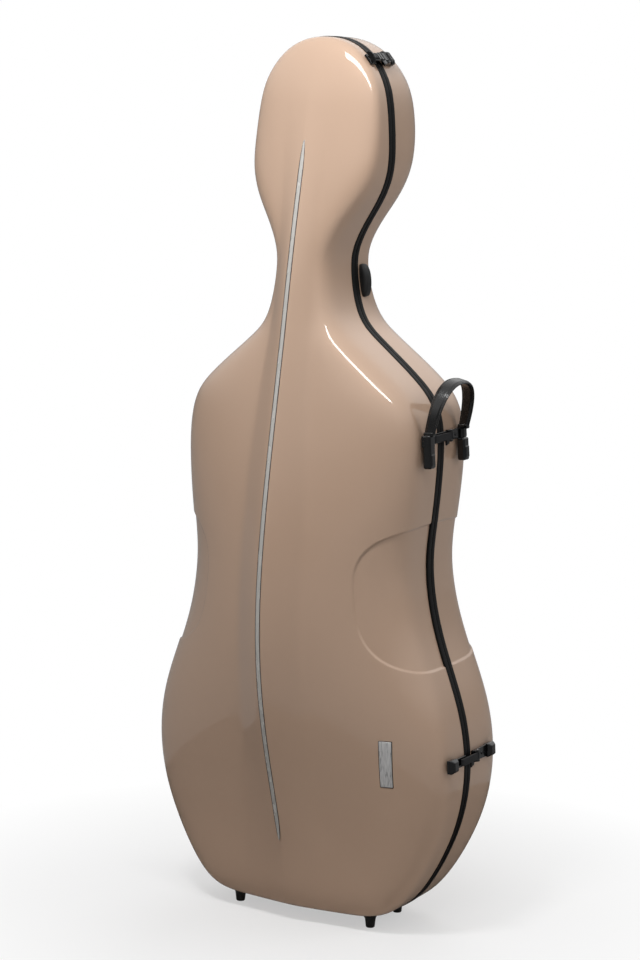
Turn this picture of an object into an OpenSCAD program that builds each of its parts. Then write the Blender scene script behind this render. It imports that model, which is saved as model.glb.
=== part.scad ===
// Hard case for a cello, standing on its base with the lid to the front.
// Origin: on the floor, on the centre plane and in the plane of the seam.
// +X is the latch side, -Y the lid side, +Z up. All sizes are in millimetres.

/* [Outline of the seam] */
// Height from the floor to the crown of the head
case_h = 1340; // [1300:1:1380]
// Height of the base above the floor, which the feet fill
base_h = 17; // [14:1:22]
// Width of the lower bout
lower_w = 510; // [496:1:524]
// Height of the widest line of the lower bout
lower_z = 260; // [250:1:270]
// Width of the waist
waist_w = 368; // [356:1:380]
// Height of the narrowest line of the waist
waist_z = 562; // [552:1:572]
// Width of the upper bout
upper_w = 396; // [384:1:408]
// Height of the widest line of the upper bout
upper_z = 738; // [730:1:746]
// Width of the neck
neck_w = 91; // [88:1:98]
// Height of the narrowest line of the neck
neck_z = 998; // [990:1:1006]
// Width of the head
head_w = 211; // [204:1:218]
// Height of the widest line of the head
head_z = 1180; // [1172:1:1188]

/* [Shells] */
// Thickness of the moulded wall of both shells
wall = 3; // [2.5:0.1:3.6]
// Squareness of the turn from the side wall to the face
turn_power = 6; // [5:0.5:8]
// Rise of the rear face from its edge to its middle
rear_crown = 12; // [8:1:16]
// Radius of the crest of the ridge
crest_r = 7; // [5:1:10]
// Softness of the fillet at the foot of the ridge, against its half width
ridge_foot = 0.15; // [0.05:0.05:0.3]

/* [Rim and seal] */
// Height of each rim band, from the seam to the shell
rim_h = 10; // [8:0.5:12]
// How far the rim bands stand proud of the shells
rim_proud = 0.8; // [0.4:0.1:1.2]
// Depth of the rim bands inward from the outline
rim_in = 6; // [5:0.5:7]
// Half of the gap between the two rim bands
seam_gap = 0.3; // [0.25:0.05:0.5]
// Width of the seal strip
seal_w = 2.6; // [2:0.1:3]
// Depth of the seal groove in the rear rim
seal_depth = 3; // [2:0.1:4]

/* [Lining] */
// Thickness of the foam lining in the tub
rear_pad = 12; // [9:1:14]
// Thickness of the foam lining in the lid
front_pad = 8; // [6:1:10]
// Clearance between a lining and what it lies on
pad_gap = 0.3; // [0.2:0.05:0.5]

/* [Hinges] */
// Height of the lower hinge
hinge_low_z = 280; // [270:1:290]
// Height of the upper hinge
hinge_high_z = 756; // [748:1:762]
// Length of each hinge along its pin
hinge_len = 60; // [52:1:68]
// Radius of the hinge pin
hinge_pin_r = 2.5; // [2:0.1:3]
// Radius of the hinge knuckles
knuckle_r = 6; // [5.5:0.1:6.4]
// Thickness of the hinge leaves
leaf_t = 2.5; // [2:0.1:3]
// Depth of the hinge leaves, away from the seam
leaf_d = 34; // [28:1:38]

/* [Latches and handle] */
// Height of the lower latch
lower_latch_z = 277; // [270:1:284]
// Height of the shoulder latch and its handle
shoulder_latch_z = 758; // [752:1:764]
// Drop of the head latch below the crown
head_latch_drop = 34; // [32:1:40]
// Thickness of a latch plate
plate_t = 4; // [3.5:0.1:4.5]
// Radius of a latch pin
latch_pin_r = 1.6; // [1.4:0.1:1.9]
// Running clearance around every pin
pin_gap = 0.05; // [0.02:0.01:0.08]
// Distance between the middles of the two handle lugs
handle_span = 108; // [100:1:116]
// Rise of the handle above its lugs
handle_rise = 74; // [66:1:82]
// Width of the handle at its grip
handle_w = 23; // [20:1:26]
// Thickness of the handle
handle_t = 5.6; // [5:0.1:7]

/* [Feet and trim] */
// Distance between the feet across the case
feet_x = 234; // [224:1:244]
// Distance between the feet of the lid and of the tub
feet_y = 85; // [78:1:92]
// Radius of a foot at its top
foot_top_r = 10; // [9:0.5:11]
// Radius of a foot at its sole
foot_sole_r = 7; // [6:0.5:8]
// Width of the silver inlay on the ridge
inlay_w = 6.4; // [5:0.2:8]
// Height of the lower end of the inlay
inlay_low_z = 137; // [130:1:145]
// Height of the upper end of the inlay
inlay_high_z = 1190; // [1180:1:1200]
// Width of the badge plate
badge_w = 19; // [17:1:22]
// Height of the badge plate
badge_h = 72; // [66:1:78]
// Radius of the hole in a strap lug
strap_hole_r = 5; // [4:0.5:6]

/* [Hidden] */
FRONT = -1;
REAR = 1;
$fn = 48;

// Seam outline: named points, and stations a given share of the way between two of them
base = [0, base_h];
lower = [lower_w / 2, lower_z];
waist = [waist_w / 2, waist_z];
upper = [upper_w / 2, upper_z];
neck = [neck_w / 2, neck_z];
head = [head_w / 2, head_z];
crown = [0, case_h];
function part_way(p, q, share_x, share_z) =
    [p.x + (q.x - p.x) * share_x, p.y + (q.y - p.y) * share_z];
stations = [
    base,
    part_way(base, lower, 0.33, 0.004),
    part_way(base, lower, 0.57, 0.035),
    part_way(base, lower, 0.73, 0.18),
    part_way(base, lower, 0.87, 0.43),
    part_way(base, lower, 0.965, 0.70),
    lower,
    part_way(lower, waist, 0.13, 0.25),
    part_way(lower, waist, 0.46, 0.48),
    part_way(lower, waist, 0.81, 0.72),
    waist,
    part_way(waist, upper, 0.5, 0.43),
    upper,
    part_way(upper, neck, 0.06, 0.235),
    part_way(upper, neck, 0.23, 0.37),
    part_way(upper, neck, 0.48, 0.5),
    part_way(upper, neck, 0.725, 0.62),
    part_way(upper, neck, 0.92, 0.75),
    neck,
    part_way(neck, head, 0.08, 0.2),
    part_way(neck, head, 0.38, 0.4),
    part_way(neck, head, 0.75, 0.6),
    part_way(neck, head, 0.96, 0.8),
    head,
    part_way(head, crown, 0.03, 0.33),
    part_way(head, crown, 0.12, 0.61),
    part_way(head, crown, 0.37, 0.845),
    part_way(head, crown, 0.67, 0.965),
    crown
];
last = len(stations) - 1;

// Depths at equal steps of height, from the floor to the crown: crest of the ridge,
// rise of the ridge over the face, half width of the ridge, front edge, rear edge
depths = [
    [98, 8, 80, 90, 106],
    [122, 16, 62, 86, 126],
    [166, 24, 50, 97, 131],
    [191, 28, 46, 95, 122],
    [184, 28, 46, 104, 107],
    [161, 25, 42, 102, 116],
    [133, 20, 30, 93, 80],
    [107, 13, 24, 86, 46],
    [75, 4, 30, 54, 104],
    [46, 1, 40, 36, 66]
];
depth_last = len(depths) - 1;

// A smooth curve through a list, by cubic B-spline weights on corrected points
function weights(f) = [
    pow(1 - f, 3) / 6,
    (3 * pow(f, 3) - 6 * f * f + 4) / 6,
    (-3 * pow(f, 3) + 3 * f * f + 3 * f + 1) / 6,
    pow(f, 3) / 6
];
function slopes(f) = [
    -pow(1 - f, 2) / 2,
    (3 * f * f - 4 * f) / 2,
    (-3 * f * f + 2 * f + 1) / 2,
    f * f / 2
];
function corrected(p) = [for (i = [1:len(p) - 2]) p[i] - (p[i - 1] - 2 * p[i] + p[i + 1]) / 6];
function mirrored(p) = [-p.x, p.y];
stations_ext = concat(
    [mirrored(stations[2]), mirrored(stations[1])],
    stations,
    [mirrored(stations[last - 1]), mirrored(stations[last - 2])]
);
station_control = corrected(stations_ext);
depths_ext = concat(
    [3 * depths[0] - 2 * depths[1], 2 * depths[0] - depths[1]],
    depths,
    [2 * depths[depth_last] - depths[depth_last - 1], 3 * depths[depth_last] - 2 * depths[depth_last - 1]]
);
depth_control = corrected(depths_ext);
function along(control, t, top, mix) =
    let (i = min(max(floor(t), 0), top - 1))
    let (w = mix == 0 ? weights(t - i) : slopes(t - i))
    w[0] * control[i] + w[1] * control[i + 1] + w[2] * control[i + 2] + w[3] * control[i + 3];
function outline(t) = along(station_control, t, last, 0);
function outline_tangent(t) =
    let (d = along(station_control, t, last, 1))
    d / norm(d);
function outline_normal(t) =
    let (d = outline_tangent(t))
    [d.y, -d.x];
function inset_outline(t, inset) = outline(t) - outline_normal(t) * inset;
function depth_row(z) = along(depth_control, z * depth_last / case_h, depth_last, 0);

// The outline parameter at a height, found by halving
function t_at(z, low = 0, high = last, turns = 24) =
    let (middle = (low + high) / 2)
    turns == 0 ? middle
    : outline(middle).y < z ? t_at(z, middle, high, turns - 1)
    : t_at(z, low, middle, turns - 1);

// Depth of the outer face at a share a of the way from the spine to the outline
function edge_fall(a) = pow(1 - pow(min(abs(a), 1), turn_power), 1 / turn_power);
function ridge_share(x, half) =
    let (left = 1 - (sqrt(x * x + crest_r * crest_r) - crest_r) / half)
    (left + sqrt(left * left + ridge_foot * ridge_foot)) / (1 + sqrt(1 + ridge_foot * ridge_foot));
function front_depth(x, z, a) =
    let (d = depth_row(z))
    d[3] + (d[0] - d[1] - d[3]) * (1 - a * a) + d[1] * ridge_share(x, d[2]);
function rear_depth(z, a) = depth_row(z)[4] + rear_crown * (1 - a * a);
function face_depth(side, x, z, a) = side == FRONT ? front_depth(x, z, a) : rear_depth(z, a);

// The faces are laid out in rings around a spine on the centre plane
spine_low_drop = 70;
spine_high_rise = 65;
spine_low = lower_z - spine_low_drop;
spine_high = head_z + spine_high_rise;
samples = 2 * last;
around = 2 * samples;
sample_t = [for (i = [0:samples]) i * last / samples];
sample_z = [for (t = sample_t) outline(t).y];
first_inner = len([for (z = sample_z) if (z <= spine_low) z]) - 1;
last_inner = samples + 1 - len([for (z = sample_z) if (z >= spine_high) z]);
spine_z = [for (i = [first_inner:last_inner]) min(max(sample_z[i], spine_low), spine_high)];
spine_last = len(spine_z) - 1;
function spine_index(i) = min(max(i - first_inner, 0), spine_last);
function half_index(i) = i <= samples ? i : around - i;
ring_angles = [18, 32, 41, 49, 59, 70, 81];
function ring_a(angle) =
    cos(angle) / pow(pow(cos(angle), turn_power) + pow(sin(angle), turn_power), 1 / turn_power);

// Points of one face of a shell, inset from the outer face: rim ring, rings, spine
function ring_point(side, inset, start, i, a) =
    let (h = half_index(i), p = inset_outline(sample_t[h], inset))
    let (c = spine_z[spine_index(h)], x = p.x * a * (i <= samples ? 1 : -1), z = c + (p.y - c) * a)
    [x, side * (start + edge_fall(a) * (face_depth(side, x, z, a) - inset - start)), z];
function face_points(side, inset, start) = concat(
    [for (i = [0:around - 1])
        let (p = inset_outline(sample_t[half_index(i)], inset))
        [p.x * (i <= samples ? 1 : -1), side * start, p.y]],
    [for (angle = ring_angles) for (i = [0:around - 1])
        ring_point(side, inset, start, i, ring_a(angle))],
    [for (z = spine_z) [0, side * (face_depth(side, 0, z, 0) - inset), z]]
);
rings = len(ring_angles) + 1;
function turned(faces) = [for (f = faces) [for (i = [len(f) - 1:-1:0]) f[i]]];
face_faces = concat(
    [for (k = [0:rings - 2]) for (i = [0:around - 1])
        let (a = k * around + i, b = k * around + (i + 1) % around)
        each [[a, b, b + around], [a, b + around, a + around]]],
    let (k = (rings - 1) * around, s = rings * around)
    [for (i = [0:around - 1])
        let (j = (i + 1) % around, p = spine_index(half_index(i)), q = spine_index(half_index(j)))
        each p == q ? [[k + i, k + j, s + p]]
            : [[k + i, k + j, s + q], [k + i, s + q, s + p]]]
);

// A shell between two insets, open at its rim plane
module shell(side, outer, inner, start) {
    points_out = face_points(side, outer, start);
    points_in = face_points(side, inner, start);
    n = len(points_out);
    faces_out = face_faces;
    faces_in = [for (f = turned(faces_out)) [for (i = f) i + n]];
    faces_rim = [for (i = [0:around - 1])
        let (j = (i + 1) % around)
        each [[j, i, i + n], [j, i + n, j + n]]];
    faces = concat(faces_out, faces_in, faces_rim);
    polyhedron(concat(points_out, points_in), side == FRONT ? faces : turned(faces));
}

// A flat ring that follows the outline, from one inset to another, between two depths
module outline_ring(outer, inner, low, high) {
    outer_points = [for (i = [0:around - 1])
        let (p = inset_outline(sample_t[half_index(i)], outer))
        [p.x * (i <= samples ? 1 : -1), p.y]];
    inner_points = [for (i = [0:around - 1])
        let (p = inset_outline(sample_t[half_index(i)], inner))
        [p.x * (i <= samples ? 1 : -1), p.y]];
    in_depth(low, high)
        difference() {
            polygon(outer_points);
            polygon(inner_points);
        }
}

// Points along the +X side of the outline at an inset, between two values of t
function outline_run(t_low, t_high, inset, steps) =
    [for (i = [0:steps]) inset_outline(t_low + (t_high - t_low) * i / steps, inset)];

// Extrudes a flat shape drawn in X and Z from one depth to another
module in_depth(low, high) {
    translate([0, high, 0])
        rotate([90, 0, 0])
            linear_extrude(high - low)
                children();
}

module front_shell() {
    color("#c9ab92")
        shell(FRONT, 0, wall, rim_h);
}

module rear_shell() {
    color("#bfa189")
        shell(REAR, 0, wall, rim_h);
}

module front_rim() {
    color("#1c1b1a")
        outline_ring(-rim_proud, rim_in, -rim_h, -seam_gap);
}

// The seal lies in a groove in the middle of the rear rim
seal_in = (rim_in - rim_proud - seal_w) / 2;
module rear_rim() {
    color("#1c1b1a")
        difference() {
            outline_ring(-rim_proud, rim_in, seam_gap, rim_h);
            outline_ring(seal_in - pad_gap / 2, seal_in + seal_w + pad_gap / 2, 0, seam_gap + seal_depth);
        }
}

module seal_strip() {
    color("#333333")
        outline_ring(seal_in, seal_in + seal_w, 0, seam_gap + seal_depth);
}

// Silver strip along the crest, pointed at both ends
inlay_t = 1.2;
inlay_steps = 44;
module ridge_inlay() {
    function z_at(k) = inlay_low_z + (inlay_high_z - inlay_low_z) * k / inlay_steps;
    function half_at(k) = inlay_w / 2 * max(0.08, pow(sin(180 * k / inlay_steps), 0.35));
    function y_at(k) = -front_depth(0, z_at(k), 0) - pad_gap / 3;
    points = [for (k = [0:inlay_steps]) each [
        [-half_at(k), y_at(k), z_at(k)],
        [half_at(k), y_at(k), z_at(k)],
        [half_at(k) * 0.7, y_at(k) - inlay_t, z_at(k)],
        [-half_at(k) * 0.7, y_at(k) - inlay_t, z_at(k)]
    ]];
    faces = concat(
        [[0, 1, 2], [0, 2, 3]],
        [for (k = [0:inlay_steps - 1]) for (j = [0:3])
            let (a = 4 * k + j, b = 4 * k + (j + 1) % 4)
            each [[a, a + 4, b + 4], [a, b + 4, b]]],
        let (e = 4 * inlay_steps) [[e + 2, e + 1, e], [e + 3, e + 2, e]]
    );
    color("silver")
        polyhedron(points, faces);
}

// Width and outer face of the case at a height between the two spine ends
function half_width(z) = outline(t_at(z)).x;
function face_y(side, x, z) =
    let (a = x / half_width(z))
    side * (rim_h + edge_fall(a) * (face_depth(side, x, z, a) - rim_h));

// Places a piece on a face at (x, z), with its own +Z along the face's outward normal
module on_face(side, x, z, sway = 1) {
    step = 8;
    lean_x = (face_y(side, x + step, z) - face_y(side, x - step, z)) / (2 * step);
    lean_z = (face_y(side, x, z + step) - face_y(side, x, z - step)) / (2 * step);
    translate([x, face_y(side, x, z), z])
        rotate([0, 0, sway * atan(lean_x)])
            rotate([-atan(lean_z), 0, 0])
                rotate([side == FRONT ? 90 : -90, 0, 0])
                    children();
}

badge_x = lower_w * 0.349;
badge_z = lower_z + 21;
badge_t = 1.5;
// The facets of the shell lie a little under its smooth face there
badge_lift = -0.6;
badge_seat = 1.2;
badge_rim = 1.2;
module badge_surround() {
    color("#2a2623")
        on_face(FRONT, badge_x, badge_z)
            translate([0, 0, badge_lift + badge_seat / 2])
                cube([badge_w + 2 * badge_rim, badge_h + 2 * badge_rim, badge_seat], center = true);
}

module badge_plate() {
    color("#b9b7b4")
        on_face(FRONT, badge_x, badge_z)
            translate([0, 0, badge_lift + badge_seat + badge_t / 2])
                cube([badge_w, badge_h, badge_t], center = true);
}

// Hinge line: outside the lower and the upper bout, on the -X side
hinge_low = inset_outline(t_at(hinge_low_z), 0);
hinge_high = inset_outline(t_at(hinge_high_z), 0);
hinge_lean = atan((hinge_low.x - hinge_high.x) / (hinge_high.y - hinge_low.y));
leaf_gap = 0.3;
hinge_out = rim_proud + leaf_gap + knuckle_r + 1.2;
knuckles = 5;
knuckle_gap = 0.4;

// Hinge frame: +X outward from the case, +Z up along the pin, at the middle of the hinge
module at_hinge(p) {
    translate([-p.x, 0, p.y])
        rotate([0, hinge_lean, 0])
            rotate([0, 0, 180])
                children();
}

// Leaf: a plate on the shell, a web to the pin and every other knuckle
module hinge_leaf(side, first) {
    pitch = hinge_len / knuckles;
    y_side = -side;
    difference() {
        union() {
            translate([rim_proud + leaf_gap, y_side > 0 ? knuckle_gap : -leaf_d, -hinge_len / 2])
                cube([leaf_t, leaf_d - knuckle_gap, hinge_len]);
            for (k = [first:2:knuckles - 1])
                translate([0, 0, -hinge_len / 2 + k * pitch + knuckle_gap / 2]) {
                    translate([hinge_out, 0, 0])
                        cylinder(r = knuckle_r, h = pitch - knuckle_gap);
                    translate([rim_proud + leaf_gap, y_side > 0 ? 0 : -knuckle_r, 0])
                        cube([hinge_out - rim_proud - leaf_gap, knuckle_r, pitch - knuckle_gap]);
                }
        }
        for (k = [1 - first:2:knuckles - 1])
            translate([hinge_out, 0, -hinge_len / 2 + k * pitch - knuckle_gap / 2])
                cylinder(r = knuckle_r + knuckle_gap, h = pitch + knuckle_gap);
        translate([hinge_out, 0, -hinge_len])
            cylinder(r = hinge_pin_r + pin_gap, h = 2 * hinge_len);
        for (z = [-hinge_len / 3, hinge_len / 3])
            translate([0, y_side * leaf_d * 0.62, z])
                rotate([0, 90, 0])
                    cylinder(r = screw_r + 0.2, h = 20);
    }
}

screw_r = 1.6;
module hinge_pin() {
    translate([hinge_out, 0, -hinge_len / 2 - 1])
        cylinder(r = hinge_pin_r, h = hinge_len + 2);
    for (z = [-hinge_len / 2 - 3, hinge_len / 2 + 1])
        translate([hinge_out, 0, z])
            cylinder(r = hinge_pin_r + 1.5, h = 2);
}

module lower_hinge_lid_leaf() {
    color("#222222")
        at_hinge(hinge_low)
            hinge_leaf(FRONT, 1);
}

module lower_hinge_tub_leaf() {
    color("#222222")
        at_hinge(hinge_low)
            hinge_leaf(REAR, 0);
}

module lower_hinge_pin() {
    color("#555555")
        at_hinge(hinge_low)
            hinge_pin();
}

module upper_hinge_lid_leaf() {
    color("#222222")
        at_hinge(hinge_high)
            hinge_leaf(FRONT, 1);
}

module upper_hinge_tub_leaf() {
    color("#222222")
        at_hinge(hinge_high)
            hinge_leaf(REAR, 0);
}

module upper_hinge_pin() {
    color("#555555")
        at_hinge(hinge_high)
            hinge_pin();
}

// Latch frame: +X outward from the seam at a height on the +X side, +Z along the seam
module at_seam(z) {
    t = t_at(z);
    p = outline(t);
    n = outline_normal(t);
    translate([p.x, 0, p.y])
        rotate([0, -atan2(n.y, n.x), 0])
            children();
}

// Sizes that the latches share: seat on the shell, pivot, lever
seat = 0.3;
pivot_x = seat + plate_t + 2.4;
pivot_y = 20;
ear_t = 3;
lever_t = 3.4;
lever_gap = 0.4;
cap_w = 15;
cap_rise = 5.5;

// A plate from one depth to another, between two distances out from the outline
module plate(y_low, y_high, w, x_low, x_high) {
    translate([x_low, y_low, -w / 2])
        cube([x_high - x_low, y_high - y_low, w]);
}

// End cap of a latch plate: a block with two slanted faces
module end_cap(y_low, y_high, w, rise) {
    slope = (y_high - y_low) * 0.28;
    translate([0, 0, -w / 2])
        linear_extrude(w)
            polygon([
                [seat + plate_t, y_low], [seat + plate_t + rise * 0.6, y_low],
                [seat + plate_t + rise, y_low + slope], [seat + plate_t + rise, y_high - slope],
                [seat + plate_t + rise * 0.6, y_high], [seat + plate_t, y_high]
            ]);
}

// Base on the tub: plate, end cap and two ears that hold the pin
module latch_base(reach, w, lever_w, cap, rise) {
    difference() {
        union() {
            plate(rim_h + 2, reach, w, seat, seat + plate_t);
            end_cap(reach - cap, reach, w, rise);
            for (s = [-1, 1])
                translate([seat, rim_h + 2, s > 0 ? lever_w / 2 + lever_gap : -lever_w / 2 - lever_gap - ear_t])
                    cube([pivot_x + 3.2 - seat, pivot_y + 4 - rim_h - 2, ear_t]);
        }
        translate([pivot_x, pivot_y, -w])
            cylinder(r = latch_pin_r + pin_gap, h = 2 * w);
        translate([pivot_x, pivot_y, -lever_w / 2 - lever_gap])
            cylinder(r = lever_t / 2 + 1.6 + lever_gap, h = lever_w + 2 * lever_gap);
        screw_holes(reach, cap);
    }
}

module screw_holes(reach, cap) {
    translate([0, (pivot_y + 4 + reach - cap) / 2, 0])
        rotate([0, 90, 0])
            cylinder(r = screw_r + 0.2, h = 30);
}

// Lever: knuckle on the pin, plate across the seam, thumb tab on its lower edge
module latch_lever(reach, lever_w, tab) {
    difference() {
        union() {
            translate([pivot_x, pivot_y, -lever_w / 2])
                cylinder(r = lever_t / 2 + 1.6, h = lever_w);
            plate(-reach, pivot_y, lever_w, pivot_x - lever_t / 2 + 0.9, pivot_x + lever_t / 2 + 0.9);
            translate([pivot_x - 0.8, tab, -lever_w / 2 - 8])
                cube([lever_t, 9, 9]);
        }
        translate([pivot_x, pivot_y, -lever_w])
            cylinder(r = latch_pin_r + pin_gap, h = 2 * lever_w);
    }
}

module latch_pin(lever_w) {
    translate([pivot_x, pivot_y, -lever_w / 2 - lever_gap - ear_t - 0.6])
        cylinder(r = latch_pin_r, h = lever_w + 2 * (lever_gap + ear_t + 0.6));
}

// Keeper on the lid: plate and end cap, under the nose of the lever
module latch_keeper(reach, w, cap, nose, rise) {
    difference() {
        union() {
            plate(-reach, -rim_h - 2, w, seat, seat + plate_t);
            end_cap(-reach, -reach + cap, w, rise);
        }
        translate([0, -(nose + reach - cap) / 2 - 1, 0])
            rotate([0, 90, 0])
                cylinder(r = screw_r + 0.2, h = 30);
    }
}

low_reach = 66;
low_back = 74;
low_w = 20;
low_cap = 20;
low_rise = 8;
low_lever_w = 11;
low_nose = 33;
low_tab_y = -4;
tab_y = 2;
module lower_latch_base() {
    color("#202020")
        at_seam(lower_latch_z)
            latch_base(low_back, low_w, low_lever_w, low_cap, low_rise);
}

module lower_latch_lever() {
    color("#2b2b2b")
        at_seam(lower_latch_z)
            latch_lever(low_nose, low_lever_w, low_tab_y);
}

module lower_latch_pin() {
    color("#777777")
        at_seam(lower_latch_z)
            latch_pin(low_lever_w);
}

module lower_latch_keeper() {
    color("#202020")
        at_seam(lower_latch_z)
            latch_keeper(low_reach, low_w, low_cap, low_nose, low_rise);
}

head_latch_z = case_h - head_latch_drop;
head_reach = 38;
head_latch_w = 22;
head_lever_w = 14;
head_nose = 26;
head_cap = 8;
module head_latch_base() {
    color("#202020")
        at_seam(head_latch_z)
            latch_base(head_reach, head_latch_w, head_lever_w, head_cap, cap_rise);
}

// The head lever ends in a wing that stands across its nose
module head_latch_lever() {
    color("#2b2b2b")
        at_seam(head_latch_z) {
            latch_lever(head_nose, head_lever_w, tab_y);
            translate([pivot_x - 0.8, -head_nose, 0])
                rotate([90, 0, 0])
                    linear_extrude(2.4)
                        intersection() {
                            translate([-8, 0])
                                circle(r = 16);
                            translate([0, -head_latch_w / 2])
                                square([9, head_latch_w]);
                        }
        }
}

module head_latch_pin() {
    color("#777777")
        at_seam(head_latch_z)
            latch_pin(head_lever_w);
}

module head_latch_keeper() {
    color("#202020")
        at_seam(head_latch_z)
            plate(-head_nose + 1, -rim_h - 2, head_latch_w - 4, seat, seat + plate_t);
}

// The handle bar is fixed to the tub and reaches over the seam, clear of the lid
lug_y = 16;
bar_end = 2;
bar_tail = 4;
bar_front = (handle_span + lug_y) / 2 + bar_end;
bar_rear = bar_front + bar_tail;
bar_w = 17;
bar_clear = 1.6;
window_w = low_lever_w + 2 * lever_gap;
bar_lift = seat + bar_clear;
module handle_bar() {
    color("#202020")
        at_seam(shoulder_latch_z)
            difference() {
                union() {
                    plate(rim_h + 2, bar_rear, bar_w, seat, seat + plate_t);
                    plate(-bar_front, bar_rear, bar_w, bar_lift, seat + plate_t);
                    end_cap(bar_rear - cap_w, bar_rear, bar_w, cap_rise);
                    end_cap(-bar_front, -bar_front + cap_w, bar_w, cap_rise);
                    for (s = [-1, 1])
                        translate([seat, rim_h + 2, s > 0 ? low_lever_w / 2 + lever_gap
                            : -low_lever_w / 2 - lever_gap - ear_t])
                            cube([pivot_x + 3.2 - seat, pivot_y + 4 - rim_h - 2, ear_t]);
                }
                translate([pivot_x, pivot_y, -bar_w])
                    cylinder(r = latch_pin_r + pin_gap, h = 2 * bar_w);
                translate([pivot_x, pivot_y, -window_w / 2])
                    cylinder(r = lever_t / 2 + 1.6 + lever_gap, h = window_w);
                screw_holes(bar_rear, cap_w);
            }
}

module shoulder_latch_lever() {
    color("#2b2b2b")
        at_seam(shoulder_latch_z)
            latch_lever(low_nose, low_lever_w, tab_y);
}

module shoulder_latch_pin() {
    color("#777777")
        at_seam(shoulder_latch_z)
            latch_pin(low_lever_w);
}

module shoulder_latch_keeper() {
    color("#202020")
        at_seam(shoulder_latch_z)
            plate(-low_nose - 4, -rim_h - 2, bar_w - 5, seat, bar_lift - 0.4);
}

// Two lug blocks hang from the bar, and the handle is sewn into their tops
lug_x = 13;
lug_drop = 40;
module handle_lugs() {
    color("#191919")
        at_seam(shoulder_latch_z)
            for (y = [-handle_span / 2, handle_span / 2])
                difference() {
                    translate([bar_lift, y - lug_y / 2, -bar_w / 2 - pad_gap - lug_drop + 8])
                        cube([lug_x, lug_y, lug_drop - 8]);
                    translate([bar_lift + lug_x - 3, y - lug_y, -bar_w / 2 - lug_drop + 7])
                        rotate([0, 45, 0])
                            cube([6, 2 * lug_y, 6]);
                }
}

// Leather handle: a flat arch that leans out from the case, widest at its grip
handle_steps = 28;
handle_lean = 16;
handle_foot_z = bar_w / 2 + pad_gap;
handle_x = bar_lift + 8.6;
module handle_strap() {
    function arch(k) = 180 * k / handle_steps;
    function y_at(k) = -handle_span / 2 * sign(cos(arch(k))) * pow(abs(cos(arch(k))), 0.8);
    function rise_at(k) = handle_rise * pow(sin(arch(k)), 0.75);
    function half_at(k) = 8 + (handle_w / 2 - 8) * pow(sin(arch(k)), 0.6);
    function middle(k) = [handle_x + tan(handle_lean) * rise_at(k), y_at(k), handle_foot_z + rise_at(k)];
    function tangent(k) =
        let (d = middle(min(k + 1, handle_steps)) - middle(max(k - 1, 0)))
        k == 0 ? [0, 0, 1] : k == handle_steps ? [0, 0, -1] : d / norm(d);
    side = [cos(handle_lean), 0, -sin(handle_lean)];
    function across(k) = let (c = cross(side, tangent(k))) c / norm(c);
    function flat_side(k) = k == 0 || k == handle_steps ? [1, 0, 0] : side;
    outline_share = [[1, -0.25], [0.8, -0.5], [-0.8, -0.5], [-1, -0.25], [-1, 0.25], [-0.8, 0.5], [0.8, 0.5], [1, 0.25]];
    points = [for (k = [0:handle_steps]) for (q = outline_share)
        middle(k) + flat_side(k) * half_at(k) * q.x + across(k) * handle_t * q.y];
    n = len(outline_share);
    faces = concat(
        [[for (j = [0:n - 1]) j]],
        [for (k = [0:handle_steps - 1]) for (j = [0:n - 1])
            let (a = n * k + j, b = n * k + (j + 1) % n)
            each [[a, a + n, b + n], [a, b + n, b]]],
        [[for (j = [n - 1:-1:0]) n * handle_steps + j]]
    );
    color("#17181a")
        at_seam(shoulder_latch_z)
            polyhedron(points, faces);
}

// Small grip on the tub beside the seam, at the neck: its back follows the outline
grip_z = neck_z - 18;
grip_h = 50;
grip_d = 19;
grip_rise = 12;
grip_seat = 0.6;
run_steps = 12;
module neck_grip() {
    t_low = t_at(grip_z - grip_h / 2);
    t_high = t_at(grip_z + grip_h / 2);
    function rise_at(i) = grip_rise * (0.28 + 0.72 * pow(sin(180 * i / run_steps), 0.6));
    color("#1b1b1b")
        in_depth(rim_h + 3, rim_h + 3 + grip_d)
            polygon(concat(
                outline_run(t_low, t_high, -grip_seat, run_steps),
                [for (i = [run_steps:-1:0])
                    inset_outline(t_low + (t_high - t_low) * i / run_steps, -rise_at(i))]
            ));
}

// Tapered feet under the base, cut to the slope of the base above them
function base_t(x, low = 0, high = 6, turns = 24) =
    let (middle = (low + high) / 2)
    turns == 0 ? middle
    : outline(middle).x < x ? base_t(x, middle, high, turns - 1)
    : base_t(x, low, middle, turns - 1);
module foot() {
    t = base_t(feet_x / 2);
    slope = atan2(outline_tangent(t).y, outline_tangent(t).x);
    top = outline(t).y - pad_gap;
    difference() {
        cylinder(r1 = foot_sole_r, r2 = foot_top_r, h = top + 4);
        translate([0, 0, top])
            rotate([0, -slope, 0])
                translate([-2 * foot_top_r, -2 * foot_top_r, 0])
                    cube(4 * foot_top_r);
    }
}

module foot_pair(side) {
    for (m = [0, 1])
        mirror([m, 0, 0])
            translate([feet_x / 2, side * feet_y / 2, 0])
                foot();
}

module front_feet() {
    color("#151515")
        foot_pair(FRONT);
}

module rear_feet() {
    color("#151515")
        foot_pair(REAR);
}

// Lugs on the back of the tub for carrying straps
lug_places = [[60, 852], [150, 335]];
lug_seat = 1.2;
lug_plate = [18, 30, 3];
lug_rise = 13;
module strap_lug() {
    translate([-lug_plate.x / 2, -lug_plate.y / 2, lug_seat])
        cube(lug_plate);
    difference() {
        union() {
            translate([-3, -9, lug_seat])
                cube([6, 18, lug_rise]);
            translate([-3, 0, lug_seat + lug_rise])
                rotate([0, 90, 0])
                    cylinder(r = 9, h = 6);
        }
        translate([-10, 0, lug_seat + lug_rise])
            rotate([0, 90, 0])
                cylinder(r = strap_hole_r, h = 20);
    }
}

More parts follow.
